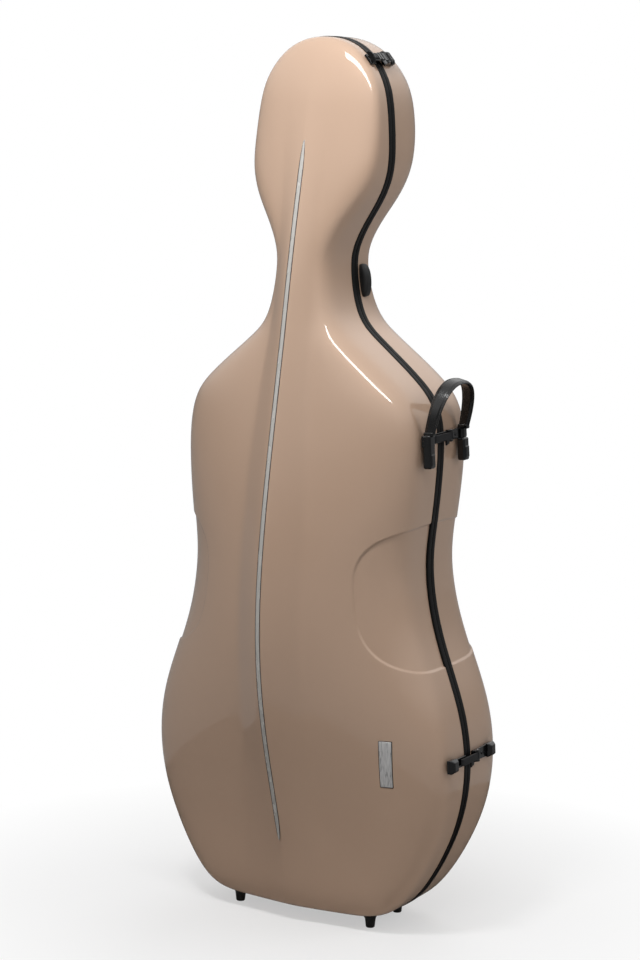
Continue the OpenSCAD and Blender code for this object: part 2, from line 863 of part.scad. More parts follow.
module strap_lugs() {
    color("#262626")
        for (p = lug_places)
            for (m = [0, 1])
                mirror([m, 0, 0])
                    on_face(REAR, p.x, p.y, 0)
                        strap_lug();
}

// Foam linings, seated on the rims inside the shells
module rear_lining() {
    color("#3b3b42")
        shell(REAR, wall + pad_gap, wall + rear_pad, rim_h + pad_gap);
}

module front_lining() {
    color("#3b3b42")
        shell(FRONT, wall + pad_gap, wall + front_pad, rim_h + pad_gap);
}

// Distance from the outline to the faces of the side cushions, where the instrument lies;
// each cushion follows the lining and clears its turn into the back
lower_room = 33;
upper_room = 23;
upper_drop = 20;
cushion_h = 120;
cushion_top = 14;
cushion_d = 46;
turn_seat = wall + rear_pad + 6 * pad_gap;
endpin_r = 12;
end_block_w = 150;
end_block_h = 52;
module end_block() {
    t_end = base_t(end_block_w / 2);
    run = outline_run(0, t_end, turn_seat, run_steps);
    top = run[0].y + end_block_h;
    left = [for (i = [run_steps:-1:1]) mirrored(run[i])];
    color("#44444c")
        difference() {
            in_depth(cushion_top, cushion_top + cushion_d)
                polygon(concat(left, run, [[run[run_steps].x, top], [-run[run_steps].x, top]]));
            translate([0, cushion_top + cushion_d / 2, 0])
                cylinder(r = endpin_r, h = 2 * end_block_h);
        }
}

module side_cushions(inner_w, z, inset) {
    run = outline_run(t_at(z - cushion_h / 2), t_at(z + cushion_h / 2), inset, run_steps);
    for (m = [0, 1])
        mirror([m, 0, 0])
            in_depth(cushion_top, cushion_top + cushion_d)
                polygon(concat(run, [[inner_w / 2, run[run_steps].y], [inner_w / 2, run[0].y]]));
}

module lower_side_cushions() {
    color("#44444c")
        side_cushions(lower_w - 2 * lower_room, lower_z, turn_seat);
}

module upper_side_cushions() {
    color("#44444c")
        side_cushions(upper_w - 2 * upper_room, upper_z - upper_drop, turn_seat);
}

// Cradle under the neck of the instrument, and the strap that holds it
cradle_z = 942;
cradle_h = 40;
cradle_d = 20;
neck_room_r = 16;
module neck_cradle() {
    run = outline_run(t_at(cradle_z), t_at(cradle_z + cradle_h), turn_seat, run_steps);
    color("#44444c")
        difference() {
            in_depth(cushion_top, cushion_top + cradle_d)
                polygon(concat(run, [for (i = [run_steps:-1:0]) mirrored(run[i])]));
            translate([0, cushion_top, cradle_z - 10])
                cylinder(r = neck_room_r, h = cradle_h + 20);
        }
}

strap_r = 26;
strap_t = 2.4;
strap_w = 30;
module neck_strap() {
    color("#222226")
        translate([0, cushion_top - pad_gap, cradle_z + (cradle_h - strap_w) / 2])
            difference() {
                cylinder(r = strap_r, h = strap_w);
                translate([0, 0, -1])
                    cylinder(r = strap_r - strap_t, h = strap_w + 2);
                translate([-strap_r - 1, 0, -1])
                    cube([2 * strap_r + 2, strap_r + 1, strap_w + 2]);
            }
}

// Bow holders in the lid: a pocket for the frog and a clip with a turner for the tip
bow_x = 56;
pocket_z = 258;
pocket = [46, 92, 9];
clip_z = 850;
clip = [16, 24, 14];
lining_seat = wall + front_pad + 7 * pad_gap;
pocket_seat = lining_seat - 3.4;
module in_lid(z, inset) {
    on_face(FRONT, bow_x, z)
        translate([0, 0, -inset])
            rotate([180, 0, 0])
                children();
}

module both_sides() {
    for (m = [0, 1])
        mirror([m, 0, 0])
            children();
}

module bow_pockets() {
    color("#303036")
        both_sides()
            in_lid(pocket_z, pocket_seat)
                translate([-pocket.x / 2, -pocket.y / 2, 0])
                    cube(pocket);
}

turner_t = 4;
turner_pin_r = 2;
turner_dx = 8;
module bow_clips() {
    color("#303036")
        both_sides()
            in_lid(clip_z, lining_seat)
                translate([turner_dx - clip.x / 2, -clip.y / 2, 0])
                    cube(clip);
}

module turner() {
    in_lid(clip_z, lining_seat)
        translate([turner_dx, 0, clip.z + pad_gap])
            difference() {
                union() {
                    cylinder(r = 7, h = turner_t);
                    translate([-26, -5, 0])
                        cube([26, 10, turner_t]);
                }
                translate([0, 0, -1])
                    cylinder(r = turner_pin_r + pin_gap, h = turner_t + 2);
            }
}

module bow_turner_right() {
    color("#55555c")
        turner();
}

module bow_turner_left() {
    color("#55555c")
        mirror([1, 0, 0])
            turner();
}

module turner_screws() {
    color("silver")
        both_sides()
            in_lid(clip_z, lining_seat)
                translate([turner_dx, 0, clip.z]) {
                    cylinder(r = turner_pin_r, h = turner_t + 2 * pad_gap + 1);
                    translate([0, 0, turner_t + 2 * pad_gap])
                        cylinder(r = 4, h = 1.8);
                }
}

// Screws: a shank through the plate and a head on it, along +X
module screw(seat_x, shank_from) {
    translate([shank_from, 0, 0])
        rotate([0, 90, 0])
            cylinder(r = screw_r, h = seat_x - shank_from + 0.4);
    translate([seat_x, 0, 0])
        rotate([0, 90, 0])
            cylinder(r1 = 3, r2 = 2.2, h = 1.4);
}

module hinge_screws(side) {
    for (p = [hinge_low, hinge_high])
        at_hinge(p)
            for (z = [-hinge_len / 3, hinge_len / 3])
                translate([0, -side * leaf_d * 0.62, z])
                    screw(rim_proud + leaf_gap + leaf_t, 0.6);
}

module tub_screws() {
    color("#666666") {
        hinge_screws(REAR);
        at_seam(lower_latch_z)
            translate([0, (pivot_y + 4 + low_back - low_cap) / 2, 0])
                screw(seat + plate_t, 0.4);
        at_seam(shoulder_latch_z)
            translate([0, (pivot_y + 4 + bar_rear - cap_w) / 2, 0])
                screw(seat + plate_t, 0.4);
        at_seam(head_latch_z)
            translate([0, (pivot_y + 4 + head_reach - head_cap) / 2, 0])
                screw(seat + plate_t, 0.4);
    }
}

module lid_screws() {
    color("#666666") {
        hinge_screws(FRONT);
        at_seam(lower_latch_z)
            translate([0, -(low_nose + low_reach - low_cap) / 2 - 1, 0])
                screw(seat + plate_t, 0.4);
    }
}

front_shell();
rear_shell();
front_rim();
rear_rim();
seal_strip();
ridge_inlay();
badge_plate();
badge_surround();
lower_hinge_lid_leaf();
lower_hinge_tub_leaf();
lower_hinge_pin();
upper_hinge_lid_leaf();
upper_hinge_tub_leaf();
upper_hinge_pin();
head_latch_base();
head_latch_lever();
head_latch_pin();
head_latch_keeper();
lower_latch_base();
lower_latch_lever();
lower_latch_pin();
lower_latch_keeper();
handle_bar();
shoulder_latch_lever();
shoulder_latch_pin();
shoulder_latch_keeper();
handle_lugs();
handle_strap();
neck_grip();
front_feet();
rear_feet();
strap_lugs();
rear_lining();
front_lining();
end_block();
lower_side_cushions();
upper_side_cushions();
neck_cradle();
neck_strap();
bow_pockets();
bow_clips();
bow_turner_left();
bow_turner_right();
turner_screws();
tub_screws();
lid_screws();
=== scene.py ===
import math

import bmesh
import bpy
import numpy as np
from mathutils import Matrix, Vector


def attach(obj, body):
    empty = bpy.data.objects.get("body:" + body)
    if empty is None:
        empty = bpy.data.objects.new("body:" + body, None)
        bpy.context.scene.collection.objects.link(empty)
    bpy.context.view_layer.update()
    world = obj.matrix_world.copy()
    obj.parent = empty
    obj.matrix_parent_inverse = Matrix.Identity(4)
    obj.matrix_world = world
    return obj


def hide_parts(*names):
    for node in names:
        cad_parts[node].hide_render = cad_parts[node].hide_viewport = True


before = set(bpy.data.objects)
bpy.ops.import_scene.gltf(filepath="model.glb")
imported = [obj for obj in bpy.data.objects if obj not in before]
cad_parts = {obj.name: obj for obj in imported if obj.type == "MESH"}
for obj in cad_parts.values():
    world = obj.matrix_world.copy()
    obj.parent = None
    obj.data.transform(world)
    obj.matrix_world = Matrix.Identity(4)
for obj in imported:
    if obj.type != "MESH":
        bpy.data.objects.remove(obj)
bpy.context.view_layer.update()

# Camera: it stands to the right of the lid, level with the head, and looks a little down.
# Its place, turn and lens were fitted to the seam, the feet and the ridge in the photograph.
mm = 0.001
photo_size = (640, 960)
view_turn = math.radians(30.311)
view_aim = view_turn + math.radians(0.113)
view_tilt = math.radians(9.237)
view_roll = math.radians(0.874)
view_distance, view_height = 3.8975, 1.3082
focal_pixels = 2594
sensor_height = 36
view_from = Vector((view_distance * math.sin(view_turn), -view_distance * math.cos(view_turn), view_height))
sight = Vector((
    -math.sin(view_aim) * math.cos(view_tilt),
    math.cos(view_aim) * math.cos(view_tilt),
    -math.sin(view_tilt),
))
level_right = sight.cross(Vector((0, 0, 1))).normalized()
level_up = level_right.cross(sight)
picture_right = level_right * math.cos(view_roll) + level_up * math.sin(view_roll)
picture_up = level_up * math.cos(view_roll) - level_right * math.sin(view_roll)
camera_data = bpy.data.cameras.new("photo_camera")
camera_data.sensor_fit = "VERTICAL"
camera_data.sensor_height = sensor_height
camera_data.lens = focal_pixels / photo_size[1] * sensor_height
camera = bpy.data.objects.new("photo_camera", camera_data)
camera.matrix_world = Matrix((
    (picture_right.x, picture_up.x, -sight.x, view_from.x),
    (picture_right.y, picture_up.y, -sight.y, view_from.y),
    (picture_right.z, picture_up.z, -sight.z, view_from.z),
    (0, 0, 0, 1),
))
bpy.context.scene.collection.objects.link(camera)
bpy.context.scene.camera = camera

# The two shells: thin laminate under glossy champagne paint and a clear coat, moulded to
# the outline of the instrument, with a ridge down the lid and a grip recess at the waist.
case_h = 1340.0
wall = 3.0
turn_power = 6
rear_crown = 12.0
crest_r = 7.0
ridge_foot = 0.15
rim_h = 10.0
rim_proud = 0.8
rim_in = 6.0
seam_gap = 0.3
LID, TUB = -1, 1


def part_way(p, q, share_x, share_z):
    return (p[0] + (q[0] - p[0]) * share_x, p[1] + (q[1] - p[1]) * share_z)


base, lower, waist = (0, 17), (255, 260), (184, 562)
upper, neck, head, crown = (198, 738), (45.5, 998), (105.5, 1180), (0, case_h)
stations = np.array([
    base,
    part_way(base, lower, 0.33, 0.004),
    part_way(base, lower, 0.57, 0.035),
    part_way(base, lower, 0.73, 0.18),
    part_way(base, lower, 0.87, 0.43),
    part_way(base, lower, 0.965, 0.70),
    lower,
    part_way(lower, waist, 0.13, 0.25),
    part_way(lower, waist, 0.46, 0.48),
    part_way(lower, waist, 0.81, 0.72),
    waist,
    part_way(waist, upper, 0.5, 0.43),
    upper,
    part_way(upper, neck, 0.06, 0.235),
    part_way(upper, neck, 0.23, 0.37),
    part_way(upper, neck, 0.48, 0.5),
    part_way(upper, neck, 0.725, 0.62),
    part_way(upper, neck, 0.92, 0.75),
    neck,
    part_way(neck, head, 0.08, 0.2),
    part_way(neck, head, 0.38, 0.4),
    part_way(neck, head, 0.75, 0.6),
    part_way(neck, head, 0.96, 0.8),
    head,
    part_way(head, crown, 0.03, 0.33),
    part_way(head, crown, 0.12, 0.61),
    part_way(head, crown, 0.37, 0.845),
    part_way(head, crown, 0.67, 0.965),
    crown,
], float)
last = len(stations) - 1
# Crest, rise and half width of the ridge, front edge, rear edge, at nine equal steps of height
depths = np.array([
    (98, 8, 80, 90, 106),
    (122, 16, 62, 86, 126),
    (166, 24, 50, 97, 131),
    (191, 28, 46, 95, 122),
    (184, 28, 46, 104, 107),
    (161, 25, 42, 102, 116),
    (133, 20, 30, 93, 80),
    (107, 13, 24, 86, 46),
    (75, 4, 30, 54, 104),
    (46, 1, 40, 36, 66),
], float)
depth_last = len(depths) - 1
opposite = np.array([-1, 1])


def corrected(p):
    return p[1:-1] - (p[:-2] - 2 * p[1:-1] + p[2:]) / 6


station_control = corrected(np.vstack([
    stations[2] * opposite, stations[1] * opposite, stations,
    stations[-2] * opposite, stations[-3] * opposite,
]))
depth_control = corrected(np.vstack([
    3 * depths[0] - 2 * depths[1], 2 * depths[0] - depths[1], depths,
    2 * depths[-1] - depths[-2], 3 * depths[-1] - 2 * depths[-2],
]))


def along(control, t, top, slope=False):
    t = np.asarray(t, float)
    i = np.clip(np.floor(t).astype(int), 0, top - 1)
    f = t - i
    if slope:
        mix = [-((1 - f) ** 2) / 2, (3 * f * f - 4 * f) / 2, (-3 * f * f + 2 * f + 1) / 2, f * f / 2]
    else:
        mix = [(1 - f) ** 3 / 6, (3 * f**3 - 6 * f * f + 4) / 6, (-3 * f**3 + 3 * f * f + 3 * f + 1) / 6, f**3 / 6]
    return sum(mix[k][..., None] * control[i + k] for k in range(4))


def outline(t, inset=0.0):
    """Points of the seam outline on the +X side, pulled in by inset."""
    d = along(station_control, t, last, slope=True)
    d = d / np.linalg.norm(d, axis=-1, keepdims=True)
    normal = np.stack([d[..., 1], -d[..., 0]], -1)
    return along(station_control, t, last) - normal * inset


fine_t = np.linspace(0, last, 8001)
fine_outline = outline(fine_t)


def t_at(z):
    return float(np.interp(z, np.maximum.accumulate(fine_outline[:, 1]), fine_t))


def half_width(z):
    return np.interp(z, np.maximum.accumulate(fine_outline[:, 1]), fine_outline[:, 0])


def edge_fall(a):
    return (1 - np.minimum(np.abs(a), 1) ** turn_power) ** (1 / turn_power)


def face_depth(side, x, z, a):
    row = along(depth_control, z * depth_last / case_h, depth_last)
    if side == TUB:
        return row[..., 4] + rear_crown * (1 - a * a)
    left = 1 - (np.sqrt(x * x + crest_r**2) - crest_r) / row[..., 2]
    rise = (left + np.sqrt(left * left + ridge_foot**2)) / (1 + math.sqrt(1 + ridge_foot**2))
    top = row[..., 0] - row[..., 1] - row[..., 3]
    return row[..., 3] + top * (1 - a * a) + row[..., 1] * rise


def face_y(side, x, z):
    a = x / half_width(z)
    return side * (rim_h + edge_fall(a) * (face_depth(side, x, z, a) - rim_h))


def spaced(total, step_of):
    """Values from 0 to total whose steps follow step_of at each place."""
    fine = np.linspace(0, total, 6001)
    count = np.concatenate([[0], np.cumsum(np.diff(fine) / step_of(0.5 * (fine[1:] + fine[:-1])))])
    steps = max(int(round(count[-1])), 4)
    return np.interp(np.linspace(0, count[-1], steps + 1), count, fine)


def run_along(points):
    """The length run at each point of a line."""
    return np.concatenate([[0], np.cumsum(np.linalg.norm(np.diff(points, axis=0), axis=1))])


def both_sides(half):
    """A line of the +X side and its mirror image, as one closed line."""
    return np.vstack([half, (half * opposite)[-2:0:-1]])


outline_run = run_along(fine_outline)


def side_values(step_at_height):
    """Values of t along one side of the outline, spaced by a step that depends on the height."""
    runs = spaced(outline_run[-1], lambda s: step_at_height(np.interp(s, outline_run, fine_outline[:, 1])))
    return np.interp(runs, outline_run, fine_t)


# The recess at the waist: a shallow D on each side, from the seam onto both faces
recess_z = 521.0
recess_half_h = 107.0
recess_reach = 157.0
recess_power = 3.4
recess_depth = 2.3
recess_edge = 2.2


def turn_shares(side, step_at):
    """Shares of the half width and of the depth from the rim to the spine, by arc at the waist."""
    psi = np.linspace(0, math.pi / 2, 4001)
    grow = (np.cos(psi) ** turn_power + np.sin(psi) ** turn_power) ** (1 / turn_power)
    a, e = np.cos(psi) / grow, np.sin(psi) / grow
    x = half_width(recess_z) * a
    y = rim_h + e * (face_depth(side, x, np.full_like(x, recess_z), a) - rim_h)
    run = np.concatenate([[0], np.cumsum(np.hypot(np.diff(x), np.diff(y)))])
    values = spaced(run[-1], step_at)
    return np.interp(values, run, a), np.interp(values, run, e)


spine_low = lower[1] - 70
spine_high = head[1] + 65


def face_grid(side, inset, start, t, shares):
    """Rings of points over one face, from the rim to the spine: an array of ring, column, xyz."""
    column = both_sides(outline(t, inset))
    centre = np.clip(column[:, 1], spine_low, spine_high)
    a, e = (np.asarray(v)[:, None] for v in shares)
    x = column[None, :, 0] * a
    z = centre + (column[None, :, 1] - centre) * a
    y = start + e * (face_depth(side, x, z, np.broadcast_to(a, x.shape)) - inset - start)
    return np.stack([x, side * y, z], -1)


def grid_faces(rings, columns, first=0, flip=False):
    k, i = np.meshgrid(np.arange(rings - 1), np.arange(columns), indexing="ij")
    j = (i + 1) % columns
    quads = np.stack([k * columns + i, k * columns + j, (k + 1) * columns + j, (k + 1) * columns + i], -1)
    quads = quads.reshape(-1, 4) + first
    return quads[:, ::-1] if flip else quads


def open_faces(rings, columns):
    """Faces of a bundle of lines whose last one repeats the first, with both ends capped."""
    faces = [(k * columns + i, k * columns + i + 1, (k + 1) * columns + i + 1, (k + 1) * columns + i)
             for k in range(rings - 1) for i in range(columns - 1)]
    return faces + [[k * columns for k in range(rings - 1)],
                    [k * columns + columns - 1 for k in range(rings - 2, -1, -1)]]


def capped_faces(rings, columns):
    """Faces of a stack of closed rings, with both ends capped."""
    return grid_faces(rings, columns).tolist() + [
        list(range(columns))[::-1], [(rings - 1) * columns + i for i in range(columns)]]


def linked(name, data):
    piece = bpy.data.objects.new(name, data)
    bpy.context.scene.collection.objects.link(piece)
    return piece


def mesh_object(name, points, faces, merge=0.0):
    """A smooth-shaded mesh object from points in millimetres."""
    mesh = bpy.data.meshes.new(name)
    mesh.from_pydata((np.asarray(points, float) * mm).tolist(), [], [list(map(int, f)) for f in faces])
    if merge:
        work = bmesh.new()
        work.from_mesh(mesh)
        bmesh.ops.remove_doubles(work, verts=work.verts, dist=merge * mm)
        bmesh.ops.recalc_face_normals(work, faces=work.faces)
        work.to_mesh(mesh)
        work.free()
    mesh.shade_smooth()
    return linked(name, mesh)


def settled(piece, body, slot, *nodes):
    """Puts a piece in its body and hides the CAD nodes it stands for; slot is not used."""
    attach(piece, body)
    if nodes:
        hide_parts(*nodes)


def dressed(piece, material, body, slot, *nodes, fill=None):
    """Gives a piece its material and what settled gives it; fill is not used."""
    piece.data.materials.clear()
    piece.data.materials.append(material)
    settled(piece, body, slot, *nodes)
    return piece


def recessed(side, grid):
    """The grid with the waist recess pressed in along the normals."""
    d_ring = np.gradient(grid, axis=0)
    d_column = (np.roll(grid, -1, axis=1) - np.roll(grid, 1, axis=1)) / 2
    normal = np.cross(d_column, d_ring) * -side
    normal /= np.maximum(np.linalg.norm(normal, axis=-1, keepdims=True), 1e-9)
    outward = np.sign(np.sum(normal * np.stack([grid[..., 0], grid[..., 1], 0 * grid[..., 2]], -1), axis=-1))
    normal *= np.where(outward == 0, 1, outward)[..., None]
    reach = rim_h + np.concatenate([
        np.zeros((1, grid.shape[1])),
        np.cumsum(np.linalg.norm(np.diff(grid, axis=0), axis=-1), axis=0),
    ])
    u = reach / recess_reach
    v = np.abs(grid[..., 2] - recess_z) / recess_half_h
    g = np.maximum((u**recess_power + v**recess_power) ** (1 / recess_power), 1e-6)
    steep = g ** (1 - recess_power) * np.hypot(
        u ** (recess_power - 1) / recess_reach, v ** (recess_power - 1) / recess_half_h)
    inside = (1 - g) / np.maximum(steep, 1e-6)
    share = np.clip((inside + recess_edge / 3) / recess_edge, 0, 1)
    press = recess_depth * share * share * (3 - 2 * share)
    return grid - normal * press[..., None]


def shell_piece(name, side):
    """Both faces of one shell, fine near the edge of the recess, and the rim between them."""
    fine = 1.7
    t = side_values(lambda z: np.where(np.abs(z - recess_z) < recess_half_h + 5, fine, 9.0))
    flank = 2.4 if side == LID else 7.0
    shares = turn_shares(side, lambda s: np.where(s < recess_reach + 3, fine, np.where(s < 240, 4.0, flank)))
    outer = recessed(side, face_grid(side, 0, rim_h, t, shares))
    inner = face_grid(side, wall, rim_h, t, turn_shares(side, lambda s: 20.0))
    columns = outer.shape[1]
    start = outer.shape[0] * columns
    i = np.arange(columns)
    j = (i + 1) % columns
    faces = np.vstack([
        grid_faces(outer.shape[0], columns),
        grid_faces(inner.shape[0], columns, start, flip=True),
        np.stack([j, i, i + start, j + start], -1),
    ])
    return mesh_object(name, np.vstack([outer.reshape(-1, 3), inner.reshape(-1, 3)]), faces, merge=0.01)


def colour(*picture):
    """A picture colour, 0 to 255, as the linear colour that a shader takes."""
    return tuple(v / 255 / 12.92 if v <= 10 else ((v / 255 + 0.055) / 1.055) ** 2.4 for v in picture) + (1,)


def node_in(tree, kind, inputs, **settings):
    """A new node with its settings; each input takes a value, or a link from a socket."""
    node = tree.nodes.new(kind)
    for key, value in settings.items():
        setattr(node, key, value)
    for key, value in inputs.items():
        if isinstance(value, bpy.types.NodeSocket):
            tree.links.new(value, node.inputs[key])
        else:
            node.inputs[key].default_value = value
    return node


def pattern(material, scale, detail=3.0, stretch=(1, 1, 1), kind="noise"):
    """A noise or cell pattern over the piece, from its Object coordinates."""
    tree = material.node_tree
    where = node_in(tree, "ShaderNodeTexCoord", {}).outputs["Object"]
    place = node_in(tree, "ShaderNodeMapping", {"Vector": where, "Scale": stretch}).outputs["Vector"]
    if kind == "cells":
        return node_in(tree, "ShaderNodeTexVoronoi", {"Vector": place, "Scale": scale}).outputs["Distance"]
    return node_in(tree, "ShaderNodeTexNoise", {"Vector": place, "Scale": scale, "Detail": detail}).outputs["Fac"]


def ranged(owner, value, low, high, new_low, new_high):
    return node_in(owner.node_tree, "ShaderNodeMapRange", {
        "Value": value, "From Min": low, "From Max": high, "To Min": new_low, "To Max": new_high,
    }).outputs["Result"]


def bumped(material, heights, socket="Normal"):
    """Bumps one after another: each height is (pattern, strength, distance in metres)."""
    tree, before = material.node_tree, {}
    for height, strength, distance in heights:
        node = node_in(tree, "ShaderNodeBump",
                       {"Strength": strength, "Distance": distance, "Height": height, **before})
        before = {"Normal": node.outputs["Normal"]}
    tree.links.new(before["Normal"], tree.nodes["Principled BSDF"].inputs[socket])


def painted(name, tint, roughness, rough=None, tints=None, bumps=(), **sockets):
    """A material. rough and tints are (pattern, low, high, value at low, value at high) and bumps
    are (pattern, strength, distance), where a pattern is its scale or a tuple of its settings."""
    material = bpy.data.materials.new(name)
    material.use_nodes = True
    tree = material.node_tree
    shader = tree.nodes["Principled BSDF"].inputs
    shader["Base Color"].default_value = colour(*tint)
    shader["Roughness"].default_value = roughness
    for socket, value in sockets.items():
        shader[socket.replace("_", " ")].default_value = value
    made = {}

    def drawn(spec):
        if spec not in made:
            made[spec] = pattern(material, *(spec if isinstance(spec, tuple) else (spec,)))
        return made[spec]

    if tints:
        share = ranged(material, drawn(tints[0]), tints[1], tints[2], 0, 1)
        mix = node_in(tree, "ShaderNodeMix", {0: share, 6: colour(*tints[3]), 7: colour(*tints[4])},
                      data_type="RGBA")
        tree.links.new(mix.outputs[2], shader["Base Color"])
    if rough:
        tree.links.new(ranged(material, drawn(rough[0]), *rough[1:]), shader["Roughness"])
    if bumps:
        bumped(material, [(drawn(spec), strength, distance) for spec, strength, distance in bumps])
    return material


cells = (3.0, (1, 1, 1), "cells")
flake = (900.0, 1.0)
champagne = painted(
    "champagne_paint", (188, 159, 137), 0.45, (flake, 0.3, 0.7, 0.4, 0.5),
    (2.2, 0.3, 0.7, (185, 156, 134), (191, 162, 140)), [(flake, 0.05, 0.0001)], Metallic=0.06,
    Specular_IOR_Level=0.15, Coat_Weight=1.0, Coat_Roughness=0.02, Coat_IOR=1.55)
bumped(champagne, [(pattern(champagne, 240.0, detail=1.0), 0.02, 0.0002)], socket="Coat Normal")
for name, side, body, node in (("lid_shell", LID, "lid", "front_shell"), ("tub_shell", TUB, "tub", "rear_shell")):
    dressed(shell_piece(name, side), champagne, body, "shell", node)

# The seam: each shell is capped by a satin black extrusion, and a sponge rubber seal
# lies in a groove of the tub's.
band_t = side_values(lambda z: 5.0 + 0 * z)
band_line = outline(band_t)
band_slope = along(station_control, band_t, last, slope=True)
band_slope /= np.linalg.norm(band_slope, axis=1, keepdims=True)
band_normal = np.stack([band_slope[:, 1], -band_slope[:, 0]], -1)
band_line = both_sides(band_line)
band_normal = both_sides(band_normal)


def band_piece(name, profile):
    """A closed profile of (outward, depth) points, swept round the whole seam."""
    rings = [np.stack([
        band_line[:, 0] + band_normal[:, 0] * out,
        np.full(len(band_line), depth),
        band_line[:, 1] + band_normal[:, 1] * out,
    ], -1) for out, depth in profile]
    rings.append(rings[0])
    grid = np.array(rings)
    return mesh_object(name, grid.reshape(-1, 3), grid_faces(len(rings), grid.shape[1]), merge=0.001)


def rounded_profile(out, inward, near, far, radius, steps=4):
    """Rectangle of the band with its two outer edges rounded, near the seam and far from it."""
    turns = [math.pi / 2 * k / steps for k in range(steps + 1)]
    return ([(-inward, near)]
            + [(out - radius + radius * math.sin(a), near + radius - radius * math.cos(a)) for a in turns]
            + [(out - radius + radius * math.cos(a), far - radius + radius * math.sin(a)) for a in turns]
            + [(-inward, far)])


band_black = painted(
    "satin_black_band", (14, 13, 13), 0.45, (60.0, 0.3, 0.7, 0.4, 0.52),
    (14.0, 0.35, 0.65, (11, 11, 11), (18, 17, 17)), [((1500.0, 1.0), 0.1, 0.0002)], Specular_IOR_Level=0.15)
groove_out, groove_in, groove_depth = -1.1, -4.0, 3.4
for name, side, body, node in (("lid_band", LID, "lid", "front_rim"), ("tub_band", TUB, "tub", "rear_rim")):
    profile = rounded_profile(rim_proud, rim_in, seam_gap, rim_h, 1.1)
    if side == TUB:
        profile[1:1] = [(groove_in, seam_gap), (groove_in, groove_depth), (groove_out, groove_depth),
                        (groove_out, seam_gap)]
    band = band_piece(name, [(out, side * depth) for out, depth in profile])
    dressed(band, band_black, body, "rim", node)

sponge = painted("sponge_rubber", (30, 30, 30), 0.85, bumps=[((1400.0, *cells), 0.5, 0.0003)])
seal = band_piece("seal", [(-3.85, 0.1), (-3.5, 0), (-1.7, 0), (-1.3, 0.1), (-1.3, 3.3), (-3.85, 3.3)])
dressed(seal, sponge, "tub", "seal", "seal_strip")

# The ridge strip: a thin silver moulding, pointed at both ends, along the crest of the lid's ridge,
# edged by a band of the paint colour darkened: painted shade of the groove it is let into.
inlay_low, inlay_high, inlay_half = 137.0, 1190.0, 3.1
inlay_z = np.linspace(inlay_low, inlay_high, 420)
inlay_taper = np.clip(np.minimum(inlay_z - inlay_low, inlay_high - inlay_z) / 46, 0, 1)
inlay_width = inlay_half * np.maximum(np.sqrt(np.sin(inlay_taper * math.pi / 2)), 0.05)


def crest_piece(name, spread, lifts):
    """A strip along the crest: each (share of the half width, lift over the shell)."""
    rows = []
    for share, lift in lifts:
        x = share * (inlay_width + spread * np.sqrt(inlay_taper))
        rows.append(np.stack([x, face_y(LID, x, inlay_z) - lift, inlay_z], -1))
    grid = np.array(rows + [rows[0]])
    return mesh_object(name, grid.reshape(-1, 3), open_faces(*grid.shape[:2]), merge=0.001)


silver = painted(
    "satin_silver", (196, 193, 188), 0.3, ((180.0, 3.0, (1, 1, 0.02)), 0.3, 0.7, 0.18, 0.32),
    bumps=[((900.0, 3.0, (1, 1, 0.01)), 0.06, 0.0001)], Metallic=0.3)
# painted shade: the groove round the strip is a thin sheet in the lid's paint colour darkened
groove_painted_shade = painted("groove_painted_shade", (58, 47, 41), 0.6, (300.0, 0.3, 0.7, 0.5, 0.75))
across = np.linspace(-1, 1, 9)
sunk = [(1, -0.8), (-1, -0.8)]
strip = crest_piece("ridge_strip", 0.0, [(s, 0.55 - 0.35 * s**4) for s in across] + sunk)
# a flat sheet a little proud of the shell, painted with the groove's shade, not a cut groove
groove = crest_piece("ridge_groove", 1.1, [(s, 0.12) for s in across] + sunk)
dressed(strip, silver, "lid", "inlay", "ridge_inlay")
dressed(groove, groove_painted_shade, "lid", "inlay")

# The badge: a brushed plate set in a bezel on the lid, left bare; the bezel's colour is painted shade.
badge_at = (178.0, 281.0)
badge_size = (19.0, 72.0)
badge_turn = (0.93, 0.985)  # the share of each size left by the slope of the face


def badge_piece(name, size, corner, lift, floor):
    """A plate that follows the face, with rounded corners and softened edges."""
    corners = []
    for cx, cz, begin in ((1, 1, 0), (-1, 1, 90), (-1, -1, 180), (1, -1, 270)):
        for k in range(5):
            angle = math.radians(begin + 22.5 * k)
            corners.append((cx * (size[0] / 2 - corner) + corner * math.cos(angle),
                            cz * (size[1] / 2 - corner) + corner * math.sin(angle)))
    corners = np.array(corners + corners[:1])
    run = run_along(corners)
    stops = np.unique(np.round(np.concatenate([run, np.arange(0, run[-1], 3.0)]), 4))[:-1]
    edge = np.stack([np.interp(stops, run, corners[:, k]) for k in (0, 1)], -1)
    rings = []
    for inset, height in ((0, floor), (0, lift - 0.35), (0.12, lift - 0.1), (0.4, lift),
                          (2.5, lift + 0.03), (5, lift + 0.05), (7.5, lift + 0.06)):
        pulled = np.sign(edge) * np.maximum(np.abs(edge) - inset, 0.02)
        x = badge_at[0] + pulled[:, 0] * badge_turn[0]
        z = badge_at[1] + pulled[:, 1] * badge_turn[1]
        rings.append(np.stack([x, face_y(LID, x, z) - height, z], -1))
    grid = np.array(rings)
    return mesh_object(name, grid.reshape(-1, 3), capped_faces(*grid.shape[:2]), merge=0.0001)


brushing = (500.0, 2.0, (1, 1, 0.03))
plate_metal = painted(
    "brushed_plate", (204, 203, 202), 0.3, (brushing, 0.3, 0.7, 0.24, 0.42),
    (brushing, 0.3, 0.7, (190, 189, 189), (220, 219, 218)), [(brushing, 0.15, 0.0001)], Metallic=0.35)
# painted shade: the bezel is the lid's paint darkened, for the shadow of the recess round the plate
bezel_painted_shade = painted("bezel_painted_shade", (52, 44, 39), 0.4, (400.0, 0.3, 0.7, 0.32, 0.5))
bezel_size = (badge_size[0] + 2.2, badge_size[1] + 2.2)
dressed(badge_piece("badge_bezel", bezel_size, 1.6, 0.7, -1.0), bezel_painted_shade, "lid", "badge_frame", "badge_surround")
dressed(badge_piece("badge", badge_size, 0.9, 1.0, -0.9), plate_metal, "lid", "badge", "badge_plate")

